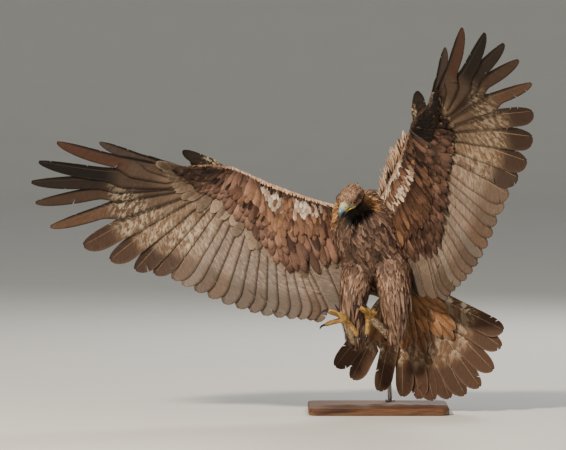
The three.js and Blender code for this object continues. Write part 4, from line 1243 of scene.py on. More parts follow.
def addTailCoverts(coat):
    for sign, rows in tailCoverts.items():
        for level, row in enumerate(rows):
            count = row["count"]
            t = np.linspace(0, 1, count)
            zero = np.zeros(count)
            length = row["length"] * (0.8 + 0.2 * np.sin(np.pi * t)) * rng.uniform(0.8, 1.06, count)
            angle = row["from"] + (row["to"] - row["from"]) * t + rng.normal(0, 2.6, count)
            height = sign * (row["height"] + 2.2 * (np.arange(count) % 2))
            plan = {"angle": np.radians(angle), "length": length, "start": zero + row["start"],
                    "height": height, "droop": zero - 4 * (sign < 0), "tilt": zero}
            grid = vaneGrid(length, row["wide"], row["wide"], outlines["covert"], 20, 7, 1)
            odd = rng.random(count)
            if sign < 0:
                colour = mixed(tailTint["under"], tailTint["underDark"], odd * 0.6)
            else:
                colour = mixed(tailTint["upperCovert"], tailTint["upperEnd"], odd * 0.5)
            colour = colour * rng.uniform(0.65, 1.25, (count, 1))
            face = covertFaces(grid, colour, tailTint["underDark"] * 0.8, tailTint["rim"], 0.4, 0.35)
            streak = 1 - 0.55 * (1 - ease(0, 0.3, np.abs(grid["q"])))  # dark along the shaft
            lift = 0.55 + 0.1 * level + (0.05 if sign > 0 else 0)
            corner = np.stack([0.52 + 0.02 * np.arange(count), zero + lift], -1)
            addVanes(coat, grid, inFan(plan, sign), face * streak[..., None], corner, size=(0.015, 0.04),
                     camber=2.0, ruffle=0.4, flip=sign < 0)


coat = newCoat()
addRectrices(coat)
addTailCoverts(coat)
tailPiece = coatObject("tail_feathers", coat, plumage("boldTailPlumage", 23))
print("tail")


# Closed pieces made from rings, each point keeping its place along the rings for its colours
def loftedPiece(name, lofts, material, **values):
    meshes = [loftMesh(*loft) for loft in lofts]
    along = []
    for (points, _), (_, around, _) in zip(meshes, lofts):
        steps = (len(points) - 2) // around
        along.append(np.concatenate([np.repeat(np.linspace(0, 1, steps), around), [0, 1]]))
    return shapedPiece(name, *joined(meshes), material, along=np.concatenate(along), **values)


def shapedPiece(name, points, faces, material, **values):
    mesh = meshFrom(name, points, faces)
    form = bmesh.new()
    form.from_mesh(mesh)
    bmesh.ops.recalc_face_normals(form, faces=form.faces)
    form.to_mesh(mesh)
    form.free()
    mesh.polygons.foreach_set("use_smooth", np.ones(len(mesh.polygons), bool))
    addValues(mesh, **{key: value(points) if callable(value) else value for key, value in values.items()})
    mesh.materials.append(material)
    return link(mesh, name)


# Bare parts: what picks the colour and the colours along it, what varies it and how far, what raises
# the surface with its strength and depth in mm, and the shader's constants. A source is the name of
# one of the mesh's values, the toes' scales, or a noise: its blotches' size in mm, detail and stretch.
finishes = {
    # a living eye: black pupil, orange iris with fine rays, dark rim, all under a wet clear cornea
    "wetCornea": {
        "by": "ring",
        "stops": [(0.0, "#050403"), (0.215, "#050403"), (0.235, "#8a4512"), (0.33, "#dc8226"),
                  (0.43, "#a4520f"), (0.47, "#1c0f08"), (0.6, "#120b07")],
        "vary": (1.6, 3.0), "tone": (0.7, 1.3),
        "shader": {"Roughness": 0.25, "IOR": 1.38, "Specular IOR Level": 0.15, "Coat Weight": 0.6,
                   "Coat Roughness": 0.03},
    },
    # bare wrinkled skin round the eye, slightly moist, its dark grey darkened almost to black as painted
    # shade of the brow
    "lidSkinWithPaintedShade": {
        "by": "along", "stops": [(0.0, "#100c0a"), (0.4, "#1c1613"), (1.0, "#2f2620")],
        "vary": (1.2, 3.0), "tone": (0.75, 1.2), "relief": ("vary", 0.5, 0.4),
        "shader": {"Roughness": 0.5},
    },
    # soft wax-like skin over the bill's root, faintly translucent; the mouth's corner is yellower, and the
    # nostril's hollow takes the near-black first colour as painted shade
    "waxyCere": {
        "by": "warmth",
        "stops": [(0.0, "#17130f"), (0.12, "#6d6a58"), (0.3, "#a9b09a"), (0.6, "#c4b774"),
                  (1.0, "#dfb21f")],
        "vary": (1.5, 3.0), "tone": (0.85, 1.12), "relief": ("vary", 0.4, 0.3),
        "shader": {"Roughness": 0.42, "Subsurface Weight": 0.12, "Subsurface Scale": 0.002},
    },
    # keratin grown in sheets: pale blue-grey, near black at the hook, polished by use
    "layeredBillHorn": {
        "by": "along",
        "stops": [(0.0, "#a9b7b5"), (0.22, "#84979d"), (0.45, "#4f5d65"), (0.7, "#23282c"),
                  (1.0, "#15181b")],
        "vary": (3.0, 3.0, (1, 1, 2.5)), "tone": (0.82, 1.15), "relief": ("vary", 0.25, 0.25),
        "shader": {"Roughness": 0.3, "IOR": 1.54, "Coat Weight": 0.25},
    },
    # reticulate skin of small horny scales, yellow, dry and slightly waxy; the creases between the scales
    # are darkened as painted shade
    "reticulateToeSkin": {
        "by": "scales", "stops": [(0.0, "#3d2812"), (0.4, "#a97a2e"), (1.0, "#e0b56a")],
        "vary": (11, 3.0), "tone": (0.4, 1.3), "relief": ("by", 0.8, 0.5),
        "shader": {"Roughness": 0.48, "Subsurface Weight": 0.05, "Subsurface Scale": 0.002},
    },
    # the plates over the toes are smoother horn, paler at their free edges
    "smoothScuteHorn": {
        "by": (5, 3.0), "stops": [(0.3, "#b58534"), (0.55, "#dcb062"), (0.75, "#e8cd98")],
        "vary": (30, 2.0), "tone": (0.7, 1.15),
        "fine": (1.5, 2.0), "relief": ("fine", 0.3, 0.2),
        "shader": {"Roughness": 0.38},
    },
    # dense black horn, polished along the curve and dusty grey at its root
    "polishedClawHorn": {
        "by": "along", "stops": [(0.0, "#4c4640"), (0.14, "#26262a"), (0.6, "#131419"), (1.0, "#0c0d10")],
        "vary": (4.0, 3.0, (1, 1, 0.4)), "tone": (0.75, 1.5), "relief": ("vary", 0.2, 0.2),
        "shader": {"Roughness": 0.24, "IOR": 1.54},
    },
}
scalesPerMetre = 480.0  # the toes' scales are about 2 mm across


def sourceOf(tree, source):
    if isinstance(source, str) and source != "scales":
        return addNode(tree, "ShaderNodeAttribute", {"attribute_name": source}, "Fac")
    place = addNode(tree, "ShaderNodeTexCoord", out="Object")
    if source == "scales":
        cells = addNode(tree, "ShaderNodeTexVoronoi", {
            "feature": "DISTANCE_TO_EDGE", "Scale": scalesPerMetre, "Vector": place})
        return addNode(tree, "ShaderNodeMapRange", {0: cells, 1: 0.0, 2: 0.3, 3: 0, 4: 1})
    size, detail, stretch = (*source, (1, 1, 1))[:3]
    drawn = addNode(tree, "ShaderNodeMapping", {"Scale": stretch, "Vector": place})
    return addNode(tree, "ShaderNodeTexNoise", {"Scale": 1000 / size, "Detail": detail, "Vector": drawn})


def toned(tree, colour, value, low, high):
    # darkens and lightens a colour with a noise
    share = addNode(tree, "ShaderNodeMapRange", {0: value, 1: 0.3, 2: 0.7, 3: low, 4: high})
    return addNode(tree, "ShaderNodeVectorMath", {"operation": "SCALE", 0: colour, 3: share})


def finished(name):
    finish = finishes[name]
    material, tree, shader = newMaterial(name)
    made = {key: sourceOf(tree, finish[key]) for key in ("by", "vary", "fine") if key in finish}
    colour = addNode(tree, "ShaderNodeValToRGB", {"stops": finish["stops"], 0: made["by"]})
    colour = toned(tree, colour, made["vary"], *finish["tone"])
    setNode(tree, shader, {"Base Color": colour, **finish["shader"]})
    if "relief" in finish:
        source, strength, depth = finish["relief"]
        bump = addNode(tree, "ShaderNodeBump", {"Strength": strength, "Distance": depth * mm,
                                                "Height": made[source]})
        setNode(tree, shader, {"Normal": bump})
    return material


# The head's bare parts: eyes under a brow, bill, cere and the yellow corner of the mouth
eye = {
    "ahead": 20.5, "aside": 21.6, "above": 4.4, "radius": 9.8, "cornea": 0.7, "forward": 0.56,
    "opening": (8.2, 5.9), "lid": (11.8, 10.4),
    # share of the way from the opening to the lid's outer edge, height over the eye's middle, colour
    "lidRows": [(0, 10.2, 0), (0, 11.0, 0.1), (0.25, 11.5, 0.4), (0.6, 11.1, 0.7), (1, 10.6, 1),
                (1, 8.6, 1), (0.3, 9.2, 0.2)],
}
brow = {
    "from": 38, "to": -4, "above": 14.4, "drop": 4.4, "reach": 31, "thick": 4.4,
    # rows of short feathers round the ridge, the gap between them and their width
    "rows": (0.15, 0.75, 1.35, 1.95, 2.5), "gap": 0.36, "wide": 1.5,
}
bill = {
    "from": 54.0, "straight": 6.5, "bendFrom": 0.22, "radius": 18.5, "bend": 98, "wide": 10.6,
    "high": 16.6, "raise": 1.9,
    "lower": {"from": 40, "length": 31.5, "below": -12.1, "sag": 1.4, "size": (8.8, 2.6, 3.9)},
    # place ahead, half width, height and depth of the cere
    "cere": [(38, 14.6, 15.6, 11.5), (42, 13.9, 15.4, 10.8), (46, 12.9, 14.4, 10.2),
             (50.5, 11.8, 12.8, 9.5), (54.6, 11.0, 11.2, 8.9)],
    "nostril": (48.5, 4.6, 2.7, 1.5),
    # the mouth's corner: ahead, aside, above and thickness
    "gape": [(53, 7.6, -8.2, 0.8), (46, 10.2, -9.0, 1.5), (38, 14.6, -9.6, 2.1), (30, 19.6, -10.6, 2.4),
             (23, 24.4, -11.8, 1.9), (18, 26.6, -12.8, 0.8)],
}


def eyeFrame(side):
    axis = unit(aside * side * math.sqrt(1 - eye["forward"] ** 2) + ahead * eye["forward"])
    up = unit(above - axis * (above @ axis))
    return onHead(eye["ahead"], side * eye["aside"], eye["above"]), axis, up, np.cross(up, axis)


def ballRings(centre, axis, across, up, radius, turn):
    return ringsOf(centre + axis * (radius * np.cos(turn))[:, None], across, up, radius * np.sin(turn))


def addEyes():
    material, lid = finished("wetCornea"), finished("lidSkinWithPaintedShade")
    pieces = {}
    for side, name in ((-1, "right"), (1, "left")):
        centre, axis, up, fore = eyeFrame(side)
        turn = np.linspace(0.04, math.pi - 0.04, 22)
        radius = eye["radius"] + eye["cornea"] * (1 - ease(0.3, 0.75, turn))
        rings = ballRings(centre, axis, fore, up, radius, turn)
        pieces["eye_" + name] = loftedPiece(
            "eyeball_" + name, [(rings, 28, 1)], material,
            ring=lambda p: np.arccos(np.clip(unit(p - centre) @ axis, -1, 1)) / (math.pi / 2))
        around = 40
        rim = np.stack([np.cos(circle(around)), np.sin(circle(around))], -1)
        rows = []
        for share, lift, _ in eye["lidRows"]:
            flat = rim * eye["opening"] * (1 - share) + rim * eye["lid"] * share
            far = np.minimum(np.linalg.norm(flat, axis=1), lift * 0.96)
            depth = np.sqrt(np.maximum(lift ** 2 - far ** 2, 0))
            rows.append(centre + fore * flat[:, :1] + up * flat[:, 1:] + axis * depth[:, None])
        faces = bandFaces(len(rows) + 1, around) % (len(rows) * around)  # the last row meets the first
        shades = np.repeat([shade for _, _, shade in eye["lidRows"]], around)
        pieces["lid_" + name] = shapedPiece("eyelids_" + name, np.vstack(rows), faces, lid, along=shades)
    return pieces


def browRings(side, grow=0):
    t = np.linspace(0, 1, 9)
    x = brow["from"] + (brow["to"] - brow["from"]) * t
    reach = brow["reach"] * (0.52 + 0.48 * np.sin(np.pi * (0.12 + 0.6 * t)))
    thick = brow["thick"] * (0.35 + 0.65 * np.sin(np.pi * t)) + grow
    centres = onHead(x, side * reach, brow["above"] - brow["drop"] * (1 - t))
    lean = unit(above - aside * side * 0.35)
    return ringsOf(centres, np.cross(lean, ahead), lean, thick * 1.35, thick * 0.62, thick * 0.5)


def addBill():
    horn, wax = finished("layeredBillHorn"), finished("waxyCere")
    t = np.linspace(0, 1, 30)
    bend = np.radians(bill["bend"]) * np.clip((t - bill["bendFrom"]) / (1 - bill["bendFrom"]), 0, 1)
    x = bill["from"] + bill["straight"] * np.minimum(1, t / bill["bendFrom"])
    x = x + bill["radius"] * np.sin(bend)
    z = bill["raise"] - bill["radius"] * (1 - np.cos(bend)) * 1.05
    size = 1 - 0.93 * t ** 1.4
    up = above * np.cos(bend)[:, None] + ahead * np.sin(bend)[:, None]
    edge = 1 + 0.1 * np.exp(-((t - 0.36) / 0.1) ** 2)  # the cutting edge swells before the hook
    upper = ringsOf(onHead(x, 0 * x, z), aside, up, bill["wide"] * size, bill["high"] * 0.61 * size,
                    bill["high"] * 0.49 * size * edge)
    t = np.linspace(0, 1, 12)
    size = 1 - 0.78 * t ** 2
    form = bill["lower"]
    centres = onHead(form["from"] + form["length"] * t, 0 * t, form["below"] - form["sag"] * t)
    lower = ringsOf(centres, aside, above, *(wide * size for wide in form["size"]))
    pieces = {"bill_upper": loftedPiece("bill_upper_horn", [(upper, 32, 2)], horn),
              "bill_lower": loftedPiece("bill_lower_horn", [(lower, 24, 2)], horn)}
    at, wide, high, low = np.array(bill["cere"]).T
    rings = ringsOf(onHead(at, 0 * at, 1.2 + 0 * at), aside, above, wide, high, low)
    points, faces = loftMesh(rings, 64, 8)
    place = np.stack([(points - headCentre) @ way for way in (ahead, aside, above)], -1)
    slot = bill["nostril"]
    dx, dz = place[:, 0] - slot[0], place[:, 2] - slot[1]
    dx, dz = dx * 0.8 + dz * 0.6, dz * 0.8 - dx * 0.6
    onSide = np.abs(place[:, 1]) > 6
    hole = np.clip(1 - (dx / slot[2]) ** 2 - (dz / slot[3]) ** 2, 0, 1) * onSide
    lip = np.exp(-((np.hypot(dx / slot[2], dz / slot[3]) - 1.25) / 0.2) ** 2) * onSide
    points = points - aside * (np.sign(place[:, 1]) * (hole * 2.6 - lip * 0.35))[:, None]
    warmth = 0.42 + 0.3 * ease(2, -9, place[:, 2]) - 0.1 * ease(50, 55, place[:, 0])
    # painted shade: the nostril's hollow goes to the darkest colour
    warmth = warmth * (1 - ease(0.05, 0.5, hole))
    pieces["cere"] = shapedPiece("cere_wax", points, faces, wax, warmth=warmth)
    x, y, z, thick = np.array(bill["gape"]).T
    lofts = [(ringsOf(onHead(x, side * y, z), aside, above, thick * 1.1, thick * 0.8), 12, 4)
             for side in (-1, 1)]
    pieces["gape"] = loftedPiece("mouth_corners", lofts, wax, warmth=lambda p: np.full(len(p), 0.97))
    return pieces


headPieces = {**addEyes(), **addBill()}
headPieces["brow"] = loftedPiece("brow_ridges", [(browRings(side, -0.8), 20, 3) for side in (-1, 1)],
                                 finished("lidSkinWithPaintedShade"))
# no feather stands within the second number of these places, in mm
bareSpots = [(eyeFrame(side)[0] + eyeFrame(side)[1] * 7, 8.2) for side in (-1, 1)]
bareSpots += [(onHead(x, side * y, z), 3.4) for side in (-1, 1) for x, y, z, _ in bill["gape"]]
print("head")


# Feet: palm and toes in yellow skin with a row of scutes over each toe, and horn claws
feet = {
    "right": {
        "toes": [
            ((-119, -186, 312), (-11, -6, 20)), ((-150, -178, 312), (-20, -16, -16)),
            ((-158, -164, 272), (-10, -26, -12)), ((-66, -150, 240), (10, -26, -22)),
        ],
        "names": ("inner", "middle", "outer", "hallux"),
    },
    "left": {
        "toes": [
            ((-58, -176, 322), (-20, -14, 4)), ((-40, -188, 324), (-14, -20, 8)),
            ((-12, -180, 314), (-6, -26, 10)), ((-36, -156, 244), (-6, -28, -16)),
        ],
        "names": ("inner", "middle", "outer", "hallux"),
    },
    "palmRadius": 12.5, "toeRadii": (8.8, 7.5, 7.0, 6.7, 6.2, 4.0), "arch": 3.0,
    "scuteLength": 3.6, "scuteWidth": 1.06, "plateThickness": 0.12, "scuteRings": (4, 19), "pad": 0.22,
    # the claw's girth at its root, and how far its start, its bend and its end lie beyond the toe
    "claw": 4.7, "clawStart": 1.5, "clawBend": 20, "clawEnd": 8,
}
scuteSizes = {"Scute length": feet["scuteLength"] * mm, "Scute width": feet["scuteWidth"],
              "Plate thickness": feet["plateThickness"]}


def toePath(palm, tip, claw):
    # the toe's middle line, its own back and the sizes of its back and its padded sole
    palm, tip, claw = (np.array(p, float) for p in (palm, tip, claw))
    run = unit(tip - palm)
    back = -unit(claw - run * (claw @ run))
    t = np.array([0, 0.25, 0.5, 0.75, 0.93, 1.05])
    arch = feet["arch"] * np.sin(np.pi * np.clip(t, 0, 1))
    return palm + (tip - palm) * t[:, None] + back * arch[:, None], run, back


def toeRings(palm, tip, claw):
    centres, run, back = toePath(palm, tip, claw)
    t = np.linspace(0, 1, 21)
    fine = smoothLine(centres, t)
    girth = smooth(feet["toeRadii"], t)
    pads = 1 + feet["pad"] * np.maximum(0, np.sin(t * np.pi * 5 - 0.6))
    return ringsOf(fine, np.cross(back, run), back, girth, girth * 0.95, girth * pads * 0.98)


def scuteTree(material):
    # plates bent over a path: one on each length, turned to the path and sized by its girth
    tree = bpy.data.node_groups.new("scutesAlongToes", "GeometryNodeTree")
    tree.interface.new_socket("Geometry", in_out="INPUT", socket_type="NodeSocketGeometry")
    for name, value in scuteSizes.items():
        socket = tree.interface.new_socket(name, in_out="INPUT", socket_type="NodeSocketFloat")
        socket.default_value = value
    tree.interface.new_socket("Geometry", in_out="OUTPUT", socket_type="NodeSocketGeometry")
    given = addNode(tree, "NodeGroupInput").node.outputs
    curve = addNode(tree, "GeometryNodeMeshToCurve", {"Mesh": given["Geometry"]})
    line = addNode(tree, "GeometryNodeResampleCurve", {"mode": "LENGTH", "Curve": curve,
                                                       "Length": given["Scute length"]})
    tangent = addNode(tree, "GeometryNodeInputTangent")
    back = addNode(tree, "GeometryNodeInputNamedAttribute", {"data_type": "FLOAT_VECTOR", "Name": "back"})
    girth = addNode(tree, "GeometryNodeInputNamedAttribute", {"data_type": "FLOAT", "Name": "girth"})
    facing = addNode(tree, "FunctionNodeAlignRotationToVector", {"axis": "Z", "Vector": tangent})
    upright = addNode(tree, "FunctionNodeAlignRotationToVector", {"axis": "X", "pivot_axis": "Z",
                                                                  "Rotation": facing, "Vector": back})
    arc = addNode(tree, "GeometryNodeCurveArc", {
        "Resolution": 11, "Start Angle": math.radians(-78), "Sweep Angle": math.radians(156),
        "Radius": given["Scute width"]})
    section = addNode(tree, "GeometryNodeCurvePrimitiveCircle", {"Resolution": 8, "Radius": 1.0})
    size = addNode(tree, "ShaderNodeCombineXYZ", {"X": given["Plate thickness"], "Y": 0.34})
    shaped = addNode(tree, "GeometryNodeTransform", {"Geometry": section, "Scale": size})
    plate = addNode(tree, "GeometryNodeCurveToMesh", {"Fill Caps": True, "Curve": arc,
                                                      "Profile Curve": shaped})
    plates = addNode(tree, "GeometryNodeInstanceOnPoints", {"Points": line, "Instance": plate,
                                                            "Rotation": upright, "Scale": girth})
    real = addNode(tree, "GeometryNodeRealizeInstances", {"Geometry": plates})
    smoothed = addNode(tree, "GeometryNodeSetShadeSmooth", {"Geometry": real})
    done = addNode(tree, "GeometryNodeSetMaterial", {"Material": material, "Geometry": smoothed})
    addNode(tree, "NodeGroupOutput", {"Geometry": done})
    return tree


def growScutes(name, foot, palm, tree, material):
    points, edges, backs, girths = [], [], [], []
    for tip, claw in foot["toes"]:
        rings = toeRings(palm, tip, claw)
        for n in range(*feet["scuteRings"]):
            if n > feet["scuteRings"][0]:
                edges.append((len(points) - 1, len(points)))
            points.append(rings["centre"][n] * mm)
            backs.append(rings["up"][n])
            girths.append(rings["high"][n] * mm)
    mesh = bpy.data.meshes.new(name)
    mesh.from_pydata([tuple(p) for p in points], edges, [])
    mesh.attributes.new("back", "FLOAT_VECTOR", "POINT").data.foreach_set("vector", np.ravel(backs))
    mesh.attributes.new("girth", "FLOAT", "POINT").data.foreach_set("value", np.array(girths))
    piece = link(mesh, name)
    modifier = piece.modifiers.new("scutes", "NODES")
    modifier.node_group = tree
    for socket in tree.interface.items_tree:
        if socket.name in scuteSizes:
            modifier[socket.identifier] = scuteSizes[socket.name]
    result = applyModifiers(piece)
    if not result.materials:
        result.materials.append(material)
    return piece


def addFeet():
    skinYellow, plate, horn = (finished(name) for name in (
        "reticulateToeSkin", "smoothScuteHorn", "polishedClawHorn"))
    tree = scuteTree(plate)
    pieces = {}
    for side in ("right", "left"):
        foot, palm = feet[side], np.array(legs[side]["palm"], float)
        shank = unit(palm - np.array(legs[side]["heel"], float))
        cross = unit(np.cross(shank, (0, 1, 0)))
        turn = np.linspace(0.06, math.pi - 0.06, 9)
        ball = ballRings(palm, shank, cross, np.cross(shank, cross), feet["palmRadius"], turn)
        lofts = [(ball, 20, 2)] + [(toeRings(palm, tip, claw), 16, 2) for tip, claw in foot["toes"]]
        pieces["foot_" + side] = loftedPiece("toes_" + side, lofts, skinYellow)
        pieces["scutes_" + side] = growScutes("toe_scutes_" + side, foot, palm, tree, plate)
        claws = []
        for tip, claw in foot["toes"]:
            centres, run, back = toePath(palm, tip, claw)
            tip, claw = np.array(tip, float), np.array(claw, float)
            n = np.linspace(0, 1, 14)[:, None]
            start, bend = tip + run * feet["clawStart"], tip + run * feet["clawBend"]
            end = tip + claw + run * feet["clawEnd"]
            line = start * (1 - n) ** 2 + bend * 2 * n * (1 - n) + end * n ** 2
            way = unit(np.gradient(line, axis=0))
            across = unit(np.cross(back, run))
            thick = feet["claw"] * (1 - n[:, 0]) ** 0.75 + 0.25
            claws.append((ringsOf(line, across, np.cross(way, across), thick * 0.8, thick), 14, 2))
        pieces["claws_" + side] = loftedPiece("claws_" + side, claws, horn)
    return pieces


footPieces = addFeet()
print("feet")


# The display stand: a walnut board and a brushed steel rod
stand = {"foot": (40, 122, 22), "top": (18, 60, 470), "radius": 6.8, "collar": 15, "collarHigh": 5}


def oiledWalnut():
    # sawn and oiled walnut: brown with darker grain lines a few mm apart along the board, satin
    material, tree, shader = newMaterial("oiledWalnut")
    place = addNode(tree, "ShaderNodeTexCoord", out="Object")
    drawn = addNode(tree, "ShaderNodeMapping", {"Scale": (1.0, 14.0, 14.0), "Vector": place})
    wander = addNode(tree, "ShaderNodeTexNoise", {"Scale": 5.0, "Detail": 5.0, "Distortion": 0.6,
                                                  "Vector": drawn})
    grain = addNode(tree, "ShaderNodeTexNoise", {"Scale": 28.0, "Detail": 6.0, "Vector": drawn})
    both = addNode(tree, "ShaderNodeMath", {"operation": "MULTIPLY_ADD", 0: grain, 1: 0.35, 2: wander})
    colour = addNode(tree, "ShaderNodeValToRGB", {
        "stops": [(0.42, "#2a180e"), (0.6, "#4e301d"), (0.75, "#6f4a2e"), (0.9, "#85603f")], 0: both})
    bump = addNode(tree, "ShaderNodeBump", {"Strength": 0.25, "Distance": 0.3 * mm, "Height": grain})
    setNode(tree, shader, {"Base Color": colour, "Normal": bump, "Roughness": 0.42})
    return material


def brushedSteel():
    # turned stainless steel, brushed round the rod: grey with fine rings of brighter scratches
    material, tree, shader = newMaterial("brushedStainless")
    lines = sourceOf(tree, (9.0, 4.0, (1, 1, 14)))
    colour = addNode(tree, "ShaderNodeValToRGB", {"stops": [(0.3, "#8d8f92"), (0.7, "#bfc1c3")], 0: lines})
    rough = addNode(tree, "ShaderNodeMapRange", {0: lines, 1: 0.3, 2: 0.7, 3: 0.26, 4: 0.42})
    setNode(tree, shader, {"Base Color": colour, "Roughness": rough, "Metallic": 1.0})
    return material


def addRod():
    foot, top = (np.array(stand[key], float) for key in ("foot", "top"))
    axis = unit(top - foot)
    cross = unit(np.cross(axis, (0, 1, 0)))
    out = np.cross(axis, cross)
    length = np.linalg.norm(top - foot)
    radius = stand["radius"]
    at = np.array([-3, 0, length * 0.5, length - 0.5, length])
    rod = ringsOf(foot + axis * at[:, None], cross, out, radius - np.array([0, 0, 0, 0, 0.5]))
    high, wide = stand["collarHigh"], stand["collar"]
    at = np.array([0.0, 0.05, 0.1, high - 1, high - 0.3, high, high + 0.05])
    size = np.array([wide - 1.5, wide - 0.05, wide, wide, wide - 0.5, wide - 1.4, radius])
    centre = foot + (0, 0, 0.1) + np.array([0, 0, 1.0]) * at[:, None]
    collar = ringsOf(centre, (1.0, 0, 0), (0, 1.0, 0), size)
    return loftedPiece("steel_rod", [(rod, 32, 1), (collar, 40, 1)], brushedSteel())


rodPiece = addRod()
board = bpy.data.objects["stand_base"]
walnut = oiledWalnut()
for slot in board.material_slots:
    slot.material = walnut
print("stand")


# The body's coat: feathers rooted on the skin in staggered rings, lying towards the tail or the feet
coatSettings = {
    "torso": {"part": "torso", "gap": 7.8, "row": 9.5, "length": 46, "wide": 8.2, "outline": "leaf",
              "rise": 4.5, "lie": -1, "span": (0.3, 7), "cell": (0.0, 0.0, 0.48, 0.46), "fit": 34,
              "loose": 0.1, "edge": 0.7},
    "mantle": {"part": "mantle", "gap": 7.5, "row": 9, "length": 42, "wide": 5.4, "outline": "leaf",
               "rise": 6, "lie": 1, "span": (0.1, 3), "cell": (0.62, 0.72, 0.36, 0.2), "fit": 14,
               "loose": 0.15},
    "neck": {"part": "neck", "gap": 5.4, "row": 6.6, "length": 34, "wide": 3.7, "outline": "lance",
             "rise": 6, "lie": -1, "span": (0.2, 4), "cell": (0.5, 0.0, 0.48, 0.22), "fit": 13,
             "loose": 0.14, "edge": 2.2},
    "head": {"part": "head", "gap": 3, "row": 3.3, "length": 12, "wide": 1.8, "outline": "leaf",
             "rise": 3.2, "lie": -1, "span": (0.3, 6.9), "cell": (0.0, 0.5, 0.6, 0.46), "fit": 6,
             "loose": 0.1, "nape": 1.5},
}
for side, thighCell, tarsusCell in (("right", 0.5, 0.62), ("left", 0.75, 0.81)):
    coatSettings["thigh_" + side] = {
        "part": "thigh_" + side, "gap": 6.4, "row": 9, "length": 40, "wide": 4.2, "outline": "lance",
        "rise": 5, "lie": 1, "span": (0.2, 4.9), "cell": (thighCell, 0.24, 0.24, 0.24), "fit": 12,
        "loose": 0.13}
    coatSettings["trousers_" + side] = {
        **coatSettings["thigh_" + side], "gap": 12, "row": 13, "length": 86, "wide": 5, "rise": 13,
        "span": (2.5, 4.5), "loose": 0.1}
    coatSettings["tarsus_" + side] = {
        "part": "tarsus_" + side, "gap": 3.4, "row": 4.4, "length": 15, "wide": 1.9, "outline": "leaf",
        "rise": 2.4, "lie": 1, "span": (0.4, 3.9), "cell": (tarsusCell, 0.5, 0.17, 0.2), "fit": 7,
        "loose": 0.2}
coatTint = tintsOf({
    "breast": "#3d2c23", "breastWarm": "#9f7f6d", "back": "#241b15", "backEdge": "#7b6048",
    "belly": "#523b30", "underHeadShadow": "#140d09", "hackle": "#eab073", "hackleFoot": "#140d09",
    "crown": "#967762", "crownDark": "#4b372a",
    "nape": "#b5824f", "cheek": "#80624b", "lore": "#a39d8b", "thigh": "#b18e77", "thighDark": "#422e24",
    "tarsus": "#c7b190",
})


def rootsOn(name):
    # roots in staggered rings on a part's surface, as points, the way the feathers lie and unwrap
    setting = coatSettings[name]
    rings = parts[setting["part"]]
    low, high = setting["span"]
    fine = np.linspace(low, high, 60)
    line = ringPoint(rings, fine, np.zeros(60))
    spine = np.concatenate([[0], np.cumsum(np.linalg.norm(np.diff(line, axis=0), axis=1))])
    last = len(rings["centre"]) - 1
    s, turn = [], []
    for row, at in enumerate(np.arange(0, spine[-1], setting["row"])):
        here = np.interp(at, spine, fine)
        wide, up, down = (smooth(rings[key], here / last) for key in ("wide", "high", "low"))
        count = max(int(math.pi * (wide + (up + down) / 2) / setting["gap"]), 6)
        k = (np.arange(count) + 0.5 * (row % 2) + rng.normal(0, 0.13, count)) / count
        turn.append(k * 2 * math.pi)
        s.append(np.clip(here + rng.normal(0, 0.13, count) * setting["row"] / 40, low, high))
    s, turn = np.concatenate(s), np.concatenate(turn) % (2 * math.pi)
    points = ringPoint(rings, s, turn)
    step = 0.05 * setting["lie"]
    after, before = (ringPoint(rings, np.clip(s + way, 0, last), turn) for way in (step, -step))
    flow = after - before
    if name == "mantle":
        flow = np.broadcast_to(-headward, points.shape)
    left, bottom, cellWide, cellHigh = setting["cell"]
    unwrap = np.stack([left + cellWide * turn / (2 * math.pi),
                       bottom + cellHigh * (s - low) / (high - low)], -1)
    return points, unit(flow), s, turn, unwrap


def onSkin(points):
    places, normals, distance = [], [], []
    for point in points:
        near, normal, _, far = skinTree.find_nearest(Vector(point) * mm)
        places.append(near / mm)
        normals.append(normal)
        distance.append(far / mm)
    return np.array(places), np.array(normals), np.array(distance)


def skinVanes(coat, roots, normals, flow, length, wide, outline, rise, over, bake):
    # each vane's middle line hugs the skin from its root and lifts towards its tip
    direction = unit(flow - normals * (flow * normals).sum(-1, keepdims=True))
    line, ups = [roots + normals * 0.4], [normals]
    here = roots
    for step in (1, 2, 3):
        here, normal, _ = onSkin(here + direction * (length / 3)[:, None])
        normal = unit(0.5 * normal + 0.5 * ups[-1])
        line.append(here + normal * (0.4 + rise * step / 3)[:, None])
        ups.append(normal)
        direction = unit(direction - normal * (direction * normal).sum(-1, keepdims=True))
    line, ups = np.array(line), np.array(ups)
    grid = vaneGrid(length, wide, wide, outlines[outline], 6, 3)
    roll = rng.normal(0, 0.2, len(length))[:, None, None]

    def put(x, y, h):
        t = np.clip(y / length[:, None, None], 0, 1.08) * 3
        i = np.minimum(t.astype(int), 2)
        f = (t - i)[..., None]
        each = np.arange(len(length))[:, None, None]
        along = unit(line[i + 1, each] - line[i, each])
        centre = line[i, each] * (1 - f) + line[i + 1, each] * f
        up = unit(ups[i, each] * (1 - f) + ups[i + 1, each] * f)
        lateral = unit(np.cross(along, up))
        up = np.cross(lateral, along)
        return centre + lateral * x[..., None] + up * (h + x * roll)[..., None]

    addVanes(coat, grid, put, over(grid), bake - patch / 2, camber=wide.mean() * 0.12, ruffle=0.15,
             thick=0.4)


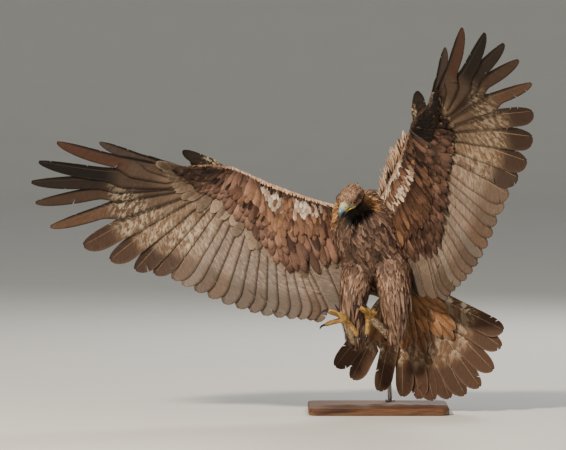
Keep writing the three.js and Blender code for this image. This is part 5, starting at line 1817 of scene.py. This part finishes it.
def bodyColours(name, s, turn, points):
    # each feather's middle and its tip
    odd = rng.random(len(s))
    back = ease(-0.2, 0.7, np.sin(turn))
    tint = coatTint
    if name == "torso":
        colour = layered(tint, "breast", ("breastWarm", 0.5 * ease(0.6, 1, odd)),
                         ("belly", (1 - ease(1, 3.4, s)) * 0.7), ("back", back))
        tip = layered(tint, "breastWarm", ("backEdge", back))
    elif name == "mantle":
        colour = layered(tint, "back", ("breastWarm", 0.4 * ease(0.6, 1, odd)))
        tip = layered(tint, "breastWarm", ("backEdge", odd))
    elif name == "neck":
        far = np.linalg.norm(points - headCentre, axis=1)
        x, y, z = ((points - headCentre) @ way for way in (ahead, aside, above))
        # painted shadow under the bill, where the head overhangs the neck
        billShadow = ease(6, -14, z) * (1 - ease(9, 22, np.abs(y)))
        billShadow = billShadow * (1 - ease(66, 90, far)) * ease(-46, -16, x)
        gold = (1 - billShadow) * (1 - ease(88, 122, far)) * ease(-0.85, -0.2, np.sin(turn))
        colour = layered(tint, "breast", ("hackleFoot", gold * 0.6), ("underHeadShadow", billShadow))
        plain = layered(tint, "breast", ("breastWarm", odd * ease(2.6, 1.2, s)))
        tip = layered(tint, plain, ("hackle", gold), ("underHeadShadow", billShadow))
    elif name == "head":
        nape = 1 - ease(0.5, 3, s)
        # painted shade on the underside of the head
        under = ease(0.1, 0.5, -np.sin(turn))
        x, y, z = ((points - headCentre) @ way for way in (ahead, aside, above))
        lore = ease(26, 32, x) * ease(9, 14, np.abs(y)) * (1 - ease(6, 9, z)) * ease(-14, -10, z)
        cheek = ease(-0.3, 0.1, -np.abs(np.sin(turn)))
        colour = layered(tint, "crown", ("crownDark", ease(0.35, 1, odd)), ("nape", nape * 0.6),
                         ("cheek", cheek * 0.7), ("underHeadShadow", under), ("lore", lore * 0.8))
        tip = layered(tint, tint["crown"] * 1.15, ("hackle", nape * 0.8), ("underHeadShadow", under), ("lore", lore))
        # painted shadow of the brow: the feathers round the eye are darkened
        socket = ease(-2, 4, x) * (1 - ease(30, 36, x)) * ease(16, 22, np.abs(y))
        socket = socket * ease(1, 5, z) * (1 - ease(11, 14, z))
        darker = 1 - 0.75 * socket[:, None]  # round the eye
        colour, tip = colour * darker, tip * darker
    elif name.startswith(("thigh", "trousers")):
        colour = layered(tint, "thighDark", ("thigh", odd * 0.5))
        tip = layered(tint, "thigh", ("thighDark", 0.4 * (odd < 0.3)))
    else:
        colour = layered(tint, "tarsus", ("thigh", odd * 0.5))
        tip = np.broadcast_to(tint["tarsus"], colour.shape)
    return colour, tip


def growCoat(name, piece):
    setting = coatSettings[name]
    points, flow, s, turn, unwrap = rootsOn(name)
    roots, normals, distance = onSkin(points)
    keep = distance < setting["fit"] * 0.5
    if name in ("head", "neck"):
        for spot, reach in bareSpots:
            keep &= np.linalg.norm(points - spot, axis=1) > reach
    points, flow, s, turn, unwrap, roots, normals = (
        value[keep] for value in (points, flow, s, turn, unwrap, roots, normals))
    count = len(roots)
    colour, tip = bodyColours(name, s, turn, points)
    own = rng.uniform(0.42, 1.5, (count, 1, 1, 1))
    rim = np.minimum(1, rng.uniform(0.2, 1, (count, 1, 1)) ** 1.5 * setting.get("edge", 1))
    grown = 1 + setting.get("nape", 0) * (1 - ease(0.8, 3.6, s))
    length = setting["length"] * rng.uniform(0.75, 1.18, count) * grown

    def over(grid):
        t, q = grid["t"], np.abs(grid["q"])
        face = mixed(colour[:, None, None] * 0.8, tip[:, None, None], ease(0.6, 1, t) * 0.5 * rim)
        face = mixed(face, tip[:, None, None], q * ease(0.2, 0.55, t) * rim)
        return face * own

    flow = unit(flow + rng.normal(0, setting["loose"], flow.shape))
    skinVanes(piece, roots, normals, flow, length, setting["wide"] * grown ** 0.6, setting["outline"],
              setting["rise"] * grown * rng.uniform(0.5, 1.4, count), over, unwrap)
    return roots, colour


def featherBrows(coat):
    # short feathers over each brow ridge, in five rows running back along it
    for side in (-1, 1):
        rings = browRings(side)
        for row, turn in enumerate(brow["rows"]):
            s = np.arange(0.3, 7.6, brow["gap"]) + brow["gap"] / 2 * (row % 2)
            turns = np.full(len(s), turn if side > 0 else math.pi - turn)
            roots = ringPoint(rings, s, turns)
            flow = unit(ringPoint(rings, s + 0.2, turns) - roots)
            normal = unit(roots - ringPoint(rings, s, turns + math.pi))
            flow = unit(flow + rng.normal(0, 0.06, flow.shape))
            lateral = unit(np.cross(flow, normal))
            length = rng.uniform(7, 10, len(s))

            def put(x, y, h):
                foot, out, run, across = (v[:, None, None] for v in (roots, normal, flow, lateral))
                lift = h + 0.3 + 1.1 * (y / length[:, None, None])
                return foot - out * 0.4 + run * y[..., None] + across * x[..., None] + out * lift[..., None]

            grid = vaneGrid(length, brow["wide"], brow["wide"], outlines["leaf"], 6, 3)
            colour = mixed(coatTint["crown"], coatTint["crownDark"], rng.random(len(s)) * 0.8)
            # the two rows under the ridge are darkened as painted shadow of the brow
            colour = colour * (0.25 if turn < 0.9 else 1)
            face = mixed(colour[:, None, None] * 0.8, coatTint["crown"], ease(0.5, 1, grid["t"]) * 0.4)
            bake = np.stack([0.62 + 0.16 * s / 8 + 0.18 * (side > 0), 0 * s + 0.93 + 0.01 * row], -1)
            addVanes(coat, grid, put, face, bake, camber=0.2, ruffle=0.1, thick=0.3)


bodyPieces = {}
skinRoots, skinColours = [], []
legParts = ("thigh_right", "thigh_left", "trousers_right", "trousers_left", "tarsus_right", "tarsus_left")
for piece, names in (("body_feathers", ("torso", "mantle")), ("neck_feathers", ("neck",)),
                     ("head_feathers", ("head",)), ("leg_feathers", legParts)):
    coat = newCoat()
    for name in names:
        roots, colour = growCoat(name, coat)
        skinRoots.append(roots)
        skinColours.append(colour)
    if piece == "head_feathers":
        featherBrows(coat)
    bodyPieces[piece] = coatObject(piece, coat, covertPlumage)
    print(piece, len(bodyPieces[piece].data.polygons) * 2, "triangles")


# The skin takes the colour of the feathers that stand on it, a little darker
def skinMaterial():
    # down and bare quill feet, seen only between feathers: matt, without gloss
    material, tree, shader = newMaterial("downySkin")
    dye = addNode(tree, "ShaderNodeAttribute", {"attribute_name": "dye"}, "Color")
    place = addNode(tree, "ShaderNodeTexCoord", out="Object")
    down = addNode(tree, "ShaderNodeTexNoise", {"Scale": 380.0, "Detail": 3.0,
                                                "Vector": place})  # tufts about 2.5 mm across
    bump = addNode(tree, "ShaderNodeBump", {"Strength": 0.6, "Distance": 0.001, "Height": down})
    setNode(tree, shader, {"Base Color": toned(tree, dye, down, 0.6, 1.1), "Normal": bump,
                           "Roughness": 0.85, "Specular IOR Level": 0.2})
    return material


def colourSkin():
    roots = np.concatenate(skinRoots)
    colours = np.concatenate(skinColours)
    tree = KDTree(len(roots))
    for n, root in enumerate(roots):
        tree.insert(root * mm, n)
    tree.balance()
    found = [tree.find(v.co) for v in skin.data.vertices]
    near = np.array([n for _, n, _ in found])
    share = ease(0.012, 0.03, np.array([distance for _, _, distance in found]))
    dye = np.ones((len(near), 4), np.float32)
    dye[:, :3] = mixed(colours[near], coverTint["lesserDark"], share) * 0.8
    skin.data.attributes.new("dye", "FLOAT_COLOR", "POINT").data.foreach_set("color", dye.ravel())
    skin.data.materials.clear()
    skin.data.materials.append(skinMaterial())


colourSkin()
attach(skin, "root")
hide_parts("torso", "neck", "head", "thigh_right", "thigh_left", "tarsus_right", "tarsus_left")
for side, piece in flightPieces.items():
    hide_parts("wing_" + side)
    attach(piece, "root")
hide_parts("tail")
for node in ("eye_right", "eye_left", "bill_upper", "bill_lower", "cere"):
    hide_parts(node)
for side in ("right", "left"):
    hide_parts("foot_" + side)
    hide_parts(*("claw_" + side + "_" + name for name in feet[side]["names"]))
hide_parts("stand_rod")
slots = {
    "body_plumage": [skin, *covertPieces.values(), *bodyPieces.values(), headPieces["brow"],
                     headPieces["lid_right"], headPieces["lid_left"]],
    "flight_plumage": [*flightPieces.values(), tailPiece],
    "yellow_skin": [headPieces["cere"], headPieces["gape"],
                    *(piece for key, piece in footPieces.items() if not key.startswith("claws"))],
    "claw_horn": [footPieces["claws_right"], footPieces["claws_left"]],
    "bill_horn": [headPieces["bill_upper"], headPieces["bill_lower"]],
    "eye": [headPieces["eye_right"], headPieces["eye_left"]],
    "stand_steel": [rodPiece],
}
for slot, pieces in slots.items():
    for piece in pieces:
        if piece not in (skin, *flightPieces.values()):
            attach(piece, "root")
